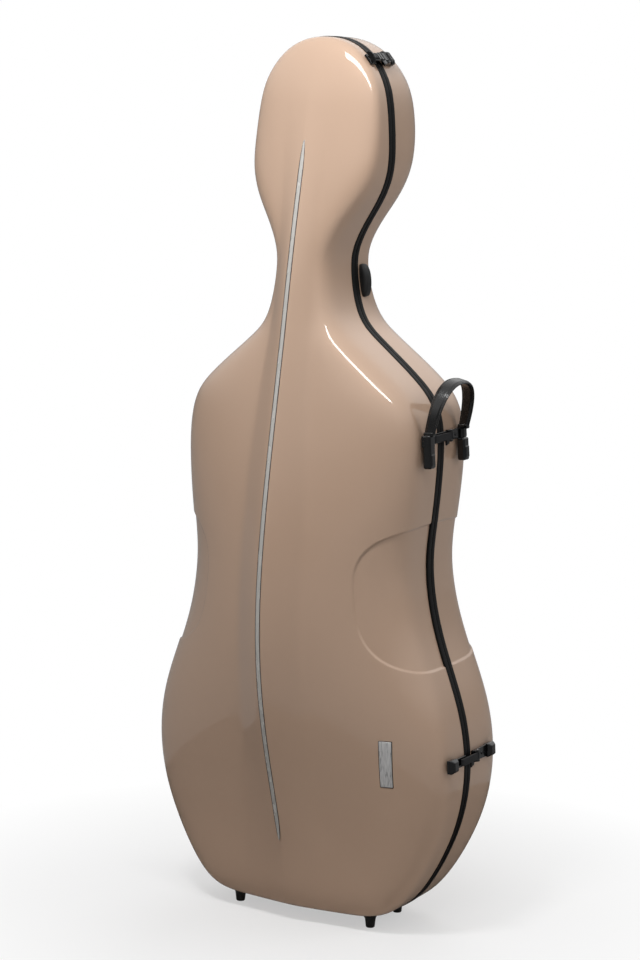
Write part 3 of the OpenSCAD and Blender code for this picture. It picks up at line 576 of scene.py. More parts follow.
# Hinges: two black pressed leaves with rolled knuckles, on steel pins, screwed to the
# laminate outside the lower and the upper bout.
hinge_low = outline(t_at(280))
hinge_high = outline(t_at(756))
hinge_lean = math.atan2(hinge_low[0] - hinge_high[0], hinge_high[1] - hinge_low[1])
hinge_out, hinge_len, knuckle_r, leaf_x, leaf_t, leaf_d = 8.3, 60.0, 6.0, 1.1, 2.5, 34.0
knuckles, knuckle_gap = 5, 0.4
def circle(radius, height, sides, centre=(0, 0)):
    return [(centre[0] + radius * math.cos(2 * math.pi * k / sides),
             centre[1] + radius * math.sin(2 * math.pi * k / sides), height) for k in range(sides)]


def joined(part, rows):
    """Faces between each ring of vertices and the next."""
    for a, b in zip(rows, rows[1:]):
        for k in range(len(a)):
            part.faces.new((a[k], a[(k + 1) % len(a)], b[(k + 1) % len(a)], b[k]))

class Build:
    """One piece put together from rounded solids, each placed by a matrix in millimetres."""

    def __init__(self, place=None):
        self.place = place or Matrix.Identity(4)
        self.mesh = bmesh.new()

    def add(self, part, place=None):
        matrix = self.place @ (place or Matrix.Identity(4))
        bmesh.ops.transform(part, matrix=matrix, verts=part.verts)
        if matrix.determinant() < 0:
            bmesh.ops.reverse_faces(part, faces=part.faces)
        data = bpy.data.meshes.new("part")
        part.to_mesh(data)
        part.free()
        self.mesh.from_mesh(data)
        bpy.data.meshes.remove(data)

    def prism(self, points, along_vector, radius, segments=3, place=None):
        """Extrudes a flat outline and rounds its sharp edges."""
        part = bmesh.new()
        face = part.faces.new([part.verts.new(p) for p in points])
        grown = bmesh.ops.extrude_face_region(part, geom=[face])["geom"]
        bmesh.ops.translate(part, verts=[g for g in grown if isinstance(g, bmesh.types.BMVert)], vec=along_vector)
        self.soften(part, radius, segments, place)

    def loft(self, rings, radius, segments=3, place=None):
        """Joins outlines of as many points each, closes both ends and rounds the sharp edges."""
        part = bmesh.new()
        rows = [[part.verts.new(p) for p in ring] for ring in rings]
        joined(part, rows)
        part.faces.new(rows[0])
        part.faces.new(rows[-1])
        self.soften(part, radius, segments, place)

    def soften(self, part, radius, segments, place):
        bmesh.ops.recalc_face_normals(part, faces=part.faces)
        sharp = [e for e in part.edges if e.calc_face_angle(0) > math.radians(24)]
        bmesh.ops.bevel(part, geom=sharp, offset=radius, segments=segments, profile=0.5,
                        affect="EDGES", clamp_overlap=True)
        self.add(part, place)

    def box(self, low, high, radius, segments=3, place=None):
        (x0, y0, z0), (x1, y1, z1) = low, high
        self.prism([(x0, y0, z0), (x1, y0, z0), (x1, y1, z0), (x0, y1, z0)], (0, 0, z1 - z0), radius, segments, place)

    def barrel(self, centre, radius, low, high, round_off, sides=32, place=None):
        """A cylinder along local Z with rounded ends."""
        self.prism(circle(radius, low, sides, centre), (0, 0, high - low), round_off, 3, place)

    def data(self, name):
        """The finished mesh, in metres."""
        bmesh.ops.scale(self.mesh, vec=(mm, mm, mm), verts=self.mesh.verts)
        data = bpy.data.meshes.new(name)
        self.mesh.to_mesh(data)
        self.mesh.free()
        return data

    def finish(self, name, material, body, slot, *nodes):
        piece = linked(name, self.data(name))
        piece.data.shade_smooth()
        weight = piece.modifiers.new("flat_faces", "WEIGHTED_NORMAL")
        weight.keep_sharp = True
        piece.data = plain_mesh(piece)
        piece.modifiers.clear()
        return dressed(piece, material, body, slot, *nodes)


def plain_mesh(piece):
    depsgraph = bpy.context.evaluated_depsgraph_get()
    return bpy.data.meshes.new_from_object(piece.evaluated_get(depsgraph))


def hinge_place(p):
    return (Matrix.Translation((-p[0], 0, p[1])) @ Matrix.Rotation(hinge_lean, 4, "Y")
            @ Matrix.Rotation(math.pi, 4, "Z"))


black_enamel = painted(
    "black_enamel", (8, 8, 9), 0.16, (220.0, 0.3, 0.7, 0.12, 0.22), bumps=[((420.0, 1.0), 0.03, 0.0002)],
    Specular_IOR_Level=0.3, Coat_Weight=0.5, Coat_Roughness=0.03)
black_satin = painted(
    "black_satin_metal", (22, 22, 23), 0.42, (90.0, 0.3, 0.7, 0.34, 0.5),
    (90.0, 0.4, 0.75, (21, 21, 23), (34, 34, 34)), [((1600.0, 1.0), 0.12, 0.0002)], Specular_IOR_Level=0.25)
ground_steel = painted(
    "ground_steel", (150, 150, 152), 0.3, ((700.0, 3.0, (1, 1, 0.05)), 0.3, 0.7, 0.22, 0.4),
    bumps=[((900.0, 3.0, (1, 1, 0.05)), 0.08, 0.0001)], Metallic=1.0)

pitch = hinge_len / knuckles
half = hinge_len / 2
web_y = 5.8
for hinge_name, at in (("lower_hinge", hinge_low), ("upper_hinge", hinge_high)):
    for side, body, first in ((1, "lid", 1), (-1, "tub", 0)):
        leaf = Build(hinge_place(at))
        far = side * leaf_d
        plan = [(leaf_x, side * knuckle_gap, -half), (leaf_x, far * 0.86, -half), (leaf_x, far, -half * 0.76),
                (leaf_x, far, half * 0.76), (leaf_x, far * 0.86, half), (leaf_x, side * knuckle_gap, half)]
        leaf.prism(plan, (leaf_t, 0, 0), 0.7)
        for k in range(first, knuckles, 2):
            z0, z1 = -half + k * pitch + knuckle_gap / 2, -half + (k + 1) * pitch - knuckle_gap / 2
            leaf.barrel((hinge_out, 0), knuckle_r - 0.1, z0, z1, 0.6, 40)
            leaf.prism([(leaf_x, 0, z0), (hinge_out, 0, z0), (hinge_out, side * web_y, z0),
                        (leaf_x + leaf_t, side * web_y, z0), (leaf_x, side * web_y, z0)], (0, 0, z1 - z0), 0.3)
        leaf.finish(hinge_name + "_" + body + "_leaf", black_satin, body, "latch_black",
                    hinge_name + "_" + body + "_leaf")
    pin = Build(hinge_place(at))
    for z0, z1 in ((-half - 3, -half - 0.3), (half + 0.3, half + 3)):
        pin.barrel((hinge_out, 0), 4.0, z0, z1, 0.8)
    pin.barrel((hinge_out, 0), 2.45, -half - 0.5, half + 0.5, 0.2)
    pin.finish(hinge_name + "_pin_heads", ground_steel, "tub", "steel", hinge_name + "_pin")


# Lower latch: a die-cast base on the tub and a keeper on the lid, both ending in glossy
# slanted caps, and a satin lever on a steel pin that closes across the seam.
def seam_place(z):
    t = t_at(z)
    p, q = outline(t), outline(t, -1.0)
    n = q - p
    return Matrix(((n[0], 0, -n[1], p[0]), (0, 1, 0, 0), (n[1], 0, n[0], p[1]), (0, 0, 0, 1)))


seat, plate_t = 0.3, 4.0
pivot_x, pivot_y, ear_t, lever_t, lever_gap = 6.7, 20.0, 3.0, 3.4, 0.4
lower_latch_place = seam_place(277)


def slanted_cap(build, near, far, half_w, rise):
    """The raised end of a latch plate, with slanted facets: near and far are depths from the seam."""
    low, top = seat + plate_t - 0.6, seat + plate_t + rise
    rings = []
    for x, share, side in ((low, 0, 0), (low + (top - low) * 0.42, 0, 0), (top, 0.2, 0.34)):
        y0, y1, z = near + (far - near) * share, far - (far - near) * share, half_w * (1 - side)
        rings.append([(x, y0, -z), (x, y1, -z), (x, y1, z), (x, y0, z)])
    build.loft(rings, 1.5, 4)


def arm_plan(near, far, narrow, wide, cap):
    """Plan of a latch plate: narrow near the seam, as wide as its cap at the far end."""
    back = 1 if far > near else -1
    bend, shoulder = far - (cap + 3) * back, far - (cap - 1) * back
    return [(seat, near, -narrow), (seat, bend, -narrow - 0.4), (seat, shoulder, -wide), (seat, far, -wide),
            (seat, far, wide), (seat, shoulder, wide), (seat, bend, narrow + 0.4), (seat, near, narrow)]


def latch_base(place, reach, w, lever_w, cap, rise):
    build = Build(place)
    build.prism(arm_plan(12, reach, w / 2 - 1.4, w / 2, cap), (plate_t, 0, 0), 0.8)
    slanted_cap(build, reach - cap, reach, w / 2 + 0.6, rise)
    for z0 in (-lever_w / 2 - lever_gap - ear_t, lever_w / 2 + lever_gap):
        build.prism([(seat + 1, 13, z0), (seat + 1, pivot_y + 8, z0), (plate_t + 1.6, pivot_y + 6, z0),
                     (pivot_x + 3, pivot_y + 2.4, z0), (pivot_x + 3, pivot_y - 2.4, z0), (plate_t + 2, 13, z0)],
                    (0, 0, ear_t), 0.7)
    return build


def latch_lever(place, nose, lever_w, tab):
    build = Build(place)
    build.barrel((pivot_x, pivot_y), 3.25, -lever_w / 2, lever_w / 2, 0.6)
    x0, x1 = pivot_x - lever_t / 2 + 0.9, pivot_x + lever_t / 2 + 0.9
    h = lever_w / 2
    build.prism([(x0, pivot_y, -h), (x1, pivot_y - 1, -h), (x1, 6, -h), (x1 - 0.1, -nose + 5, -h),
                 (x1 - 1.6, -nose + 0.4, -h), (x0, -nose, -h)], (0, 0, lever_w), 0.75)
    tab_x = pivot_x - 0.7
    build.prism([(tab_x, tab, -h - 7.8), (tab_x, tab + 8.8, -h - 5.4), (tab_x, tab + 8.8, -h + 1),
                 (tab_x, tab, -h + 1)], (lever_t - 0.2, 0, 0), 1.1)
    return build


latch_base(lower_latch_place, 74, 20, 11, 20, 8.0).finish(
    "lower_latch_body", black_enamel, "tub", "latch_black", "lower_latch_base")
keeper = Build(lower_latch_place)
keeper.prism(arm_plan(-12, -66, 7.2, 10, 20), (plate_t, 0, 0), 0.8)
slanted_cap(keeper, -46, -66, 10.6, 8.0)
keeper.finish("lower_latch_strike", black_enamel, "lid", "latch_black", "lower_latch_keeper")
latch_lever(lower_latch_place, 33, 11, -4).finish(
    "lower_latch_handle", black_satin, "lower_lever", "latch_black", "lower_latch_lever")


def latch_pin(place, lever_w, name, node):
    build = Build(place)
    half = lever_w / 2 + lever_gap + ear_t + 0.55
    build.barrel((pivot_x, pivot_y), 1.6, -half, half, 0.4, 24)
    build.finish(name, ground_steel, "tub", "steel", node)


latch_pin(lower_latch_place, 11, "lower_latch_axle", "lower_latch_pin")

# Head latch: shorter, with a ribbed lever, two glossy barrels over the seam and a thin
# wing for the thumb at its nose.
head_latch_place = seam_place(1306)
latch_base(head_latch_place, 38, 22, 14, 8, 5.8).finish(
    "head_latch_body", black_enamel, "tub", "latch_black", "head_latch_base")
head_lever = latch_lever(head_latch_place, 26, 14, 2)
for depth in (7.0, -0.6):
    head_lever.barrel((pivot_x + 1.5, depth), 3.3, -6.6, 6.6, 1.2)
wing_x, wing_y = pivot_x - 0.6, -25.9
wing = [(wing_x + 8.6 * math.sqrt(1 - (k / 8 - 1) ** 2) * 0.96, wing_y, 10.6 * (k / 8 - 1)) for k in range(1, 16)]
head_lever.prism([(wing_x, wing_y, -10.8)] + wing + [(wing_x, wing_y, 10.8)], (0, 2.2, 0), 0.6)
head_lever.finish("head_latch_handle", black_enamel, "head_lever", "latch_black", "head_latch_lever")
strike = Build(head_latch_place)
strike.box((seat, -25, -9), (seat + plate_t, -12, 9), 0.8)
strike.finish("head_latch_strike", black_enamel, "lid", "latch_black", "head_latch_keeper")
latch_pin(head_latch_place, 14, "head_latch_axle", "head_latch_pin")


def made_by_nodes(name, group, carrier, values):
    """Runs a node tree on a carrier mesh and returns its result as a plain mesh object."""
    modifier = carrier.modifiers.new(name, "NODES")
    modifier.node_group = group
    for item in group.interface.items_tree:
        if item.item_type == "SOCKET" and item.in_out == "INPUT" and item.name in values:
            modifier[item.identifier] = values[item.name]
    carrier.data.update()
    mesh = plain_mesh(carrier)
    bpy.data.objects.remove(carrier)
    mesh.name = name
    return linked(name, mesh)


def carrier_mesh(name, points, edges=(), normals=None, tangents=None):
    """Points in millimetres, with the directions that a tree needs stored on them."""
    mesh = bpy.data.meshes.new(name)
    mesh.from_pydata([tuple(float(v) * mm for v in p) for p in points], list(edges), [])
    for label, rows in (("out", normals), ("line", tangents)):
        if rows is not None:
            layer = mesh.attributes.new(label, "FLOAT_VECTOR", "POINT")
            layer.data.foreach_set("vector", np.asarray(rows, np.float32).ravel())
    return linked(name, mesh)


def new_tree(name, inputs):
    tree = bpy.data.node_groups.new(name, "GeometryNodeTree")
    tree.interface.new_socket("Geometry", in_out="INPUT", socket_type="NodeSocketGeometry")
    tree.interface.new_socket("Geometry", in_out="OUTPUT", socket_type="NodeSocketGeometry")
    for label, kind, value in inputs:
        socket = tree.interface.new_socket(label, in_out="INPUT", socket_type="NodeSocket" + kind)
        if value is not None:
            socket.default_value = value
    return tree, tree.nodes.new("NodeGroupInput"), tree.nodes.new("NodeGroupOutput")


def facing(tree, along_z, along_y):
    """A rotation whose Z follows one attribute and whose Y follows another."""
    def vector(label):
        return node_in(tree, "GeometryNodeInputNamedAttribute", {"Name": label},
                       data_type="FLOAT_VECTOR").outputs["Attribute"]

    return node_in(tree, "FunctionNodeAxesToRotation", {
        "Primary Axis": vector(along_z), "Secondary Axis": vector(along_y),
    }, primary_axis="Z", secondary_axis="Y").outputs["Rotation"]


def copies_on_points(tree, given, result, shape, along_z, along_y, **more):
    """Puts a copy of a shape on each point of the carrier, and paints it."""
    points = node_in(tree, "GeometryNodeMeshToPoints", {0: given.outputs["Geometry"]})
    copies = node_in(tree, "GeometryNodeInstanceOnPoints", {
        "Points": points.outputs[0], "Instance": shape, "Rotation": facing(tree, along_z, along_y), **more})
    solid = node_in(tree, "GeometryNodeRealizeInstances", {0: copies.outputs[0]})
    smooth = node_in(tree, "GeometryNodeSetShadeSmooth", {0: solid.outputs[0]})
    paint = node_in(tree, "GeometryNodeSetMaterial", {0: smooth.outputs[0], "Material": given.outputs["Material"]})
    tree.links.new(paint.outputs[0], result.inputs[0])


# The screws: pan heads with a cross recess, one at each hole of a hinge leaf or a latch
# plate, and one on the thin strap of each base.
def screw_head_mesh():
    """A low dome, 5.6 mm across, with a cross cut into it."""
    head = bmesh.new()
    sides = 24
    rows = [[head.verts.new(p) for p in circle(radius, height, sides)]
            for radius, height in ((2.8, -0.6), (2.8, 0.2), (2.6, 0.62), (2.1, 0.98), (1.5, 1.2))]
    cross = []
    for k in range(sides):
        angle = 2 * math.pi * k / sides
        radius = 0.4 + 0.95 * abs(math.cos(2 * angle)) ** 6
        cross.append(head.verts.new((radius * math.cos(angle), radius * math.sin(angle), 1.2)))
    pit = [head.verts.new((v.co.x * 0.8, v.co.y * 0.8, 0.35)) for v in cross]
    rows += [cross, pit]
    joined(head, rows)
    head.faces.new(pit)
    head.faces.new(rows[0][::-1])
    bmesh.ops.scale(head, vec=(mm, mm, mm), verts=head.verts)
    mesh = bpy.data.meshes.new("screw_head")
    head.to_mesh(mesh)
    head.free()
    return mesh


screw_object = bpy.data.objects.new("screw_head", screw_head_mesh())
screw_tree, given, result = new_tree("screws_on_points", [
    ("Screw", "Object", None), ("Size", "Float", 1.0), ("Material", "Material", None)])
copy = node_in(screw_tree, "GeometryNodeObjectInfo", {"Object": given.outputs["Screw"]})
copies_on_points(screw_tree, given, result, copy.outputs["Geometry"], "out", "line", Scale=given.outputs["Size"])
screw_black = painted("screw_black", (36, 36, 38), 0.3, (600.0, 0.3, 0.7, 0.24, 0.4),
                      bumps=[((1800.0, 1.0), 0.1, 0.0001)], Metallic=0.5)


def screw_set(name, spots, size, material, body, slot, *nodes):
    """Spots are (place, point, outward axis) in that place's own frame."""
    points, outs, lines = [], [], []
    for k, (place, point, axis) in enumerate(spots):
        spin = Matrix.Rotation(0.7 * k + 0.3, 3, Vector(axis))
        side = spin @ Vector((0, 0, 1) if abs(axis[2]) < 0.5 else (1, 0, 0))
        points.append(place @ Vector(point))
        outs.append((place.to_3x3() @ Vector(axis)).normalized())
        lines.append((place.to_3x3() @ side).normalized())
    carrier = carrier_mesh(name, points, normals=outs, tangents=lines)
    piece = made_by_nodes(name, screw_tree, carrier, {"Screw": screw_object, "Size": size, "Material": material})
    settled(piece, body, slot, *nodes)


shoulder_place = seam_place(758)
out_x = (1, 0, 0)


def leaf_spots(depth):
    return [(hinge_place(p), (leaf_x + leaf_t, depth, z), out_x) for p in (hinge_low, hinge_high) for z in (-20, 20)]


def plate_spot(place, depth):
    return (place, (seat + plate_t, depth, 0), out_x)


tub_spots = leaf_spots(-leaf_d * 0.62) + [
    plate_spot(lower_latch_place, 39), plate_spot(shoulder_place, 38.5), plate_spot(head_latch_place, 27)]
lid_spots = leaf_spots(leaf_d * 0.62) + [plate_spot(lower_latch_place, -40.5)]
screw_set("tub_screw_heads", tub_spots, 1.0, screw_black, "tub", "screw_black", "tub_screws")
screw_set("lid_screw_heads", lid_spots, 1.0, screw_black, "lid", "screw_black", "lid_screws")

# Ribs on the head lever, which the thumb pulls against. The same tree lays the stitches.
rib_tree, given, result = new_tree("ribs_on_points", [
    ("Length", "Float", 0.0115), ("Radius", "Float", 0.0008), ("Material", "Material", None)])
rib = node_in(rib_tree, "GeometryNodeMeshCylinder", {
    "Vertices": 12, "Side Segments": 1, "Depth": given.outputs["Length"], "Radius": given.outputs["Radius"]})
copies_on_points(rib_tree, given, result, rib.outputs["Mesh"], "line", "out")


def rods(name, points, outs, lines, place, length, radius, material, body, slot):
    """A row of ribs or stitches: one short rod at each point."""
    turn_only = place.to_3x3()
    carrier = carrier_mesh(name, [place @ Vector(p) for p in points],
                           normals=[(turn_only @ Vector(v)).normalized() for v in outs],
                           tangents=[(turn_only @ Vector(v)).normalized() for v in lines])
    piece = made_by_nodes(name, rib_tree, carrier, {"Length": length, "Radius": radius, "Material": material})
    settled(piece, body, slot)


rib_spots = [(9.2, y, 0) for y in (-7.6, -10.8, -14.0, -17.2)]
rods("head_lever_ribs", rib_spots, [out_x] * 4, [(0, 0, 1)] * 4, head_latch_place, 0.0116, 0.0009,
     black_enamel, "head_lever", "latch_black")

# The carrying bar at the shoulder: a black extrusion screwed to the tub, which reaches over
# the seam with rounded caps at both ends, and a latch lever in its middle.
lug_y, bar_front, bar_rear, bar_half = 54.0, 64.0, 68.0, 8.5
front_seat = 1.9


def bar_plan(x, near, far):
    """Plan of one end of the bar, a little narrower up to its cap."""
    back = 1 if far > near else -1
    half_plan = [(near, bar_half - 1), (far - 15 * back, bar_half - 1), (far - 12 * back, bar_half), (far, bar_half)]
    return [(x, y, -z) for y, z in half_plan] + [(x, y, z) for y, z in half_plan[::-1]]


bar = Build(shoulder_place)
bar.prism(bar_plan(seat, 12, bar_rear), (plate_t, 0, 0), 0.8)
bar.prism(bar_plan(front_seat, 14, -bar_front), (2.4, 0, 0), 0.7)
slanted_cap(bar, bar_rear - 15, bar_rear, bar_half + 0.4, 5.8)
slanted_cap(bar, -bar_front + 15, -bar_front, bar_half + 0.4, 5.8)
for z0 in (-8.9, 5.9):
    bar.prism([(seat + 1, 13, z0), (seat + 1, 24, z0), (plate_t + 3, 23.6, z0), (9.8, 22, z0), (9.8, 17, z0),
               (plate_t + 2, 13, z0)], (0, 0, ear_t), 0.7)
bar.finish("handle_bar_body", black_enamel, "tub", "latch_black", "handle_bar")
latch_lever(shoulder_place, 33, 11, 2).finish(
    "shoulder_latch_handle", black_satin, "shoulder_lever", "latch_black", "shoulder_latch_lever")
latch_pin(shoulder_place, 11, "shoulder_latch_axle", "shoulder_latch_pin")
hook = Build(shoulder_place)
hook.box((seat, -37, -6), (1.5, -12, 6), 0.4)
hook.finish("shoulder_latch_strike", black_enamel, "lid", "latch_black", "shoulder_latch_keeper")

# The carrying handle: black padded leather, sewn along both edges, in moulded shoes on the
# bar, with a lug below each shoe.
shoes = Build(shoulder_place)
shoes.box((front_seat, -lug_y - 8.6, -40.8), (15.6, -lug_y + 8.4, 9.6), 3.4, 5)
shoes.box((front_seat, lug_y - 8, -40.8), (14.9, lug_y + 8, -6.5), 3.0, 5)
for s in (-1, 1):
    y = s * lug_y
    shoes.box((3.2, y - 6.0, -37), (16.4, y + 6.0, -19), 2.0, 4)
    shoes.box((2.2, y - 4.8, 6.4), (18.8, y + 4.8, 13.5), 2.0, 4)
shoes.finish("handle_shoes", black_enamel, "tub", "handle_leather", "handle_lugs")

handle_rise, handle_half, handle_t, handle_lean = 74.0, 11.5, 5.6, math.radians(16)
handle_x, handle_foot_z = 10.5, 8.8
arch = np.linspace(0, math.pi, 97)
arch_y = -lug_y * np.sign(np.cos(arch)) * np.abs(np.cos(arch)) ** 0.8
arch_up = handle_rise * np.sin(arch) ** 0.75
arch_half = 8 + (handle_half - 8) * np.sin(arch) ** 0.6
arch_mid = np.stack([handle_x + math.tan(handle_lean) * arch_up, arch_y, handle_foot_z + arch_up], -1)
arch_run = run_along(arch_mid)
even = np.linspace(0, arch_run[-1], 121)
arch_mid = np.stack([np.interp(even, arch_run, arch_mid[:, k]) for k in range(3)], -1)
arch_half = np.interp(even, arch_run, arch_half)
arch_line = np.gradient(arch_mid, axis=0)
arch_line /= np.linalg.norm(arch_line, axis=1, keepdims=True)
lean_in = np.clip(np.minimum(even, even[-1] - even) / 14, 0, 1)[:, None]
arch_lean = np.array([[math.cos(handle_lean), 0, -math.sin(handle_lean)]])
arch_side = (1 - lean_in) * np.array([[1.0, 0, 0]]) + lean_in * arch_lean
arch_side -= arch_line * np.sum(arch_side * arch_line, axis=1, keepdims=True)
arch_side /= np.linalg.norm(arch_side, axis=1, keepdims=True)
arch_out = np.cross(arch_side, arch_line)


def strap_height(s):
    """Half thickness over the width: a padded middle, thin hems and rounded edges."""
    padded = np.clip((0.74 - np.abs(s)) / 0.2, 0, 1)
    padded = padded * padded * (3 - 2 * padded)
    hem = np.sqrt(np.clip(1 - np.clip((np.abs(s) - 0.9) / 0.1, 0, 1) ** 2, 0, 1))
    return handle_t / 2 * (0.46 * hem + 0.54 * padded)


strap_s = np.concatenate([-np.cos(np.linspace(0, math.pi, 33)), np.cos(np.linspace(0, math.pi, 33))[1:-1]])
strap_sign = np.concatenate([np.ones(33), -np.ones(31)])
thick = strap_height(strap_s) * strap_sign
strap_grid = np.array([
    arch_mid[k] + (strap_s * arch_half[k])[:, None] * arch_side[k] + thick[:, None] * arch_out[k]
    for k in range(len(even))])
grain = (620.0, *cells)
handle_leather = painted(
    "handle_leather", (9, 9, 10), 0.3, (grain, 0.0, 0.6, 0.36, 0.24), (60.0, 0.35, 0.7, (8, 8, 9), (14, 14, 14)),
    [(60.0, 0.15, 0.0005), (grain, 0.25, 0.0002)],
    Specular_IOR_Level=0.35, Coat_Weight=0.5, Coat_Roughness=0.12)
handle = mesh_object("handle_strap_leather", [tuple(shoulder_place @ Vector(p)) for p in strap_grid.reshape(-1, 3)],
                     capped_faces(*strap_grid.shape[:2]), merge=0.0005)
dressed(handle, handle_leather, "tub", "handle_leather", "handle_strap", fill=0.9)

thread = painted("black_thread", (52, 51, 50), 0.7, bumps=[(3000.0, 0.4, 0.0001)])
stitch_points, stitch_outs, stitch_lines = [], [], []
for at in np.arange(16.0, even[-1] - 15, 3.6):
    here, side_here, out_here = (np.array([np.interp(at, even, rows[:, k]) for k in range(3)])
                                 for rows in (arch_mid, arch_side, arch_out))
    half_here = np.interp(at, even, arch_half)
    for s in (-0.83, 0.83):
        for up in (-1, 1):
            stitch_points.append(here + side_here * s * half_here + out_here * up * (handle_t * 0.23 + 0.1))
            stitch_outs.append(out_here * up)
            stitch_lines.append(np.cross(out_here, side_here))
rods("handle_stitches", stitch_points, stitch_outs, stitch_lines, shoulder_place, 0.0026, 0.00038, thread,
     "tub", "handle_leather")

# The neck grip: a soft rubber block on the tub, whose back follows the outline.
grip_z, grip_h, grip_near, grip_d, grip_rise = 980.0, 50.0, 13.0, 19.0, 12.0
soft_rubber = painted(
    "soft_rubber", (20, 20, 21), 0.5, (120.0, 0.3, 0.7, 0.42, 0.58), (40.0, 0.35, 0.7, (17, 17, 18), (26, 26, 26)),
    [((1500.0, 1.0), 0.2, 0.0003)], Specular_IOR_Level=0.4)
grip_t = np.linspace(t_at(grip_z - grip_h / 2), t_at(grip_z + grip_h / 2), 49)
grip_line = outline(grip_t)
grip_normal = grip_line - outline(grip_t, 1.0)
grip_u = np.linspace(-1, 1, 49)
grip_grow = (1 - np.abs(grip_u) ** 5) ** 0.2
grip_rings = []
for v in np.linspace(0, 2 * math.pi, 41)[:-1]:
    depth = grip_near + grip_d / 2 - grip_d / 2 * np.sign(math.cos(v)) * abs(math.cos(v)) ** 0.5 * grip_grow
    lift = np.sign(math.sin(v)) * abs(math.sin(v)) ** 0.5
    rise = (grip_rise * (0.28 + 0.72 * np.sin(math.pi * (grip_u + 1) / 2) ** 0.6)) if lift > 0 else np.full(49, 0.8)
    rise = rise * lift * np.maximum(grip_grow, 0.02) ** (0.6 if lift > 0 else 0)
    face = grip_line + grip_normal * rise[:, None]
    grip_rings.append(np.stack([face[:, 0], depth, face[:, 1]], -1))
grip_grid = np.array(grip_rings + grip_rings[:1])
grip = mesh_object("neck_grip_rubber", grip_grid.reshape(-1, 3), open_faces(*grip_grid.shape[:2]), merge=0.01)
dressed(grip, soft_rubber, "tub", "grip_black", "neck_grip")

# Four tapered rubber feet, moulded with a bead at the top and a softened sole.
foot_x, foot_y, foot_sole_r, foot_top_r = 117.0, 42.5, 7.0, 10.0
base_curve = fine_outline[fine_t < 5]
foot_rubber = painted(
    "foot_rubber", (30, 30, 30), 0.55, (200.0, 0.3, 0.7, 0.45, 0.7), (70.0, 0.4, 0.7, (26, 26, 26), (48, 46, 44)),
    [((1200.0, 1.0), 0.25, 0.0003)])
foot_profile = [(0.86, 0.0), (0.98, 0.05), (1.03, 0.2), (1.1, 0.45), (1.2, 0.68), (1.3, 0.78), (1.44, 0.84),
                (1.47, 0.92), (1.42, 1.0)]  # share of the sole's radius, share of the height
foot_angles = np.linspace(0, 2 * math.pi, 41)[:-1]
top_height = np.interp(foot_x, base_curve[:, 0], base_curve[:, 1])
for side, body, name, node in ((LID, "lid", "lid_feet", "front_feet"), (TUB, "tub", "tub_feet", "rear_feet")):
    points, faces = [], []
    for m in (-1, 1):
        rows = []
        for grow, share in foot_profile:
            x = foot_x + foot_sole_r * grow * np.cos(foot_angles)
            y = foot_y + foot_sole_r * grow * np.sin(foot_angles)
            z = share * (np.interp(x, base_curve[:, 0], base_curve[:, 1]) * share + top_height * (1 - share) + 0.5 * share)
            rows.append(np.stack([m * x, side * y, z], -1))
        start = len(points)
        points += np.array(rows).reshape(-1, 3).tolist()
        for face in capped_faces(len(rows), len(foot_angles)):
            face = [start + i for i in face]
            faces.append(face[::-1] if m * side < 0 else face)
    feet = mesh_object(name, points, faces, merge=0.001)
    dressed(feet, foot_rubber, body, "foot_rubber", node)


# Lugs for carrying straps on the back of the tub: die-cast eyes on screwed plates.
def face_place(side, x, z, sway=1.0):
    """The frame on a face, with Z outwards."""
    step = 8.0
    across_slope = float(face_y(side, x + step, z) - face_y(side, x - step, z)) / (2 * step)
    up_slope = float(face_y(side, x, z + step) - face_y(side, x, z - step)) / (2 * step)
    turn = (Matrix.Rotation(sway * math.atan(across_slope), 4, "Z") @ Matrix.Rotation(-math.atan(up_slope), 4, "X")
            @ Matrix.Rotation(-side * math.pi / 2, 4, "X"))
    return Matrix.Translation((x, float(face_y(side, x, z)), z)) @ turn


mirrored = Matrix.Scale(-1, 4, (1, 0, 0))
both_hands = (Matrix.Identity(4), mirrored)


def ring_part(inner, outer, half_w, soft, sides=40):
    """A ring about local Z with softened corners."""
    part = bmesh.new()
    profile = [(inner, -half_w + soft), (inner + soft, -half_w), (outer - soft, -half_w), (outer, -half_w + soft),
               (outer, half_w - soft), (outer - soft, half_w), (inner + soft, half_w), (inner, half_w - soft)]
    rows = [[part.verts.new(p) for p in circle(radius, height, sides)] for radius, height in profile]
    joined(part, rows + rows[:1])
    bmesh.ops.recalc_face_normals(part, faces=part.faces)
    return part


lugs = Build()
lug_spots = []
for x, z in ((60, 852), (150, 335)):
    for flip in both_hands:
        on_back = flip @ face_place(TUB, x, z, 0)
        lugs.box((-9, -15, 0.6), (9, 15, 4.2), 1.0, 3, on_back)
        lugs.box((-3.4, -8.8, 3.4), (3.4, 8.8, 8.0), 1.2, 3, on_back)
        eye_place = on_back @ Matrix.Translation((0, 0, 14.2)) @ Matrix.Rotation(math.pi / 2, 4, "Y")
        lugs.add(ring_part(5.0, 9.0, 3.0, 0.8), eye_place)
        lug_spots += [(on_back, (0, y, 4.2), (0, 0, 1)) for y in (-11.8, 11.8)]
lugs.finish("strap_lug_eyes", black_satin, "tub", "latch_black", "strap_lugs")
screw_set("strap_lug_screws", lug_spots, 0.85, screw_black, "tub", "screw_black")

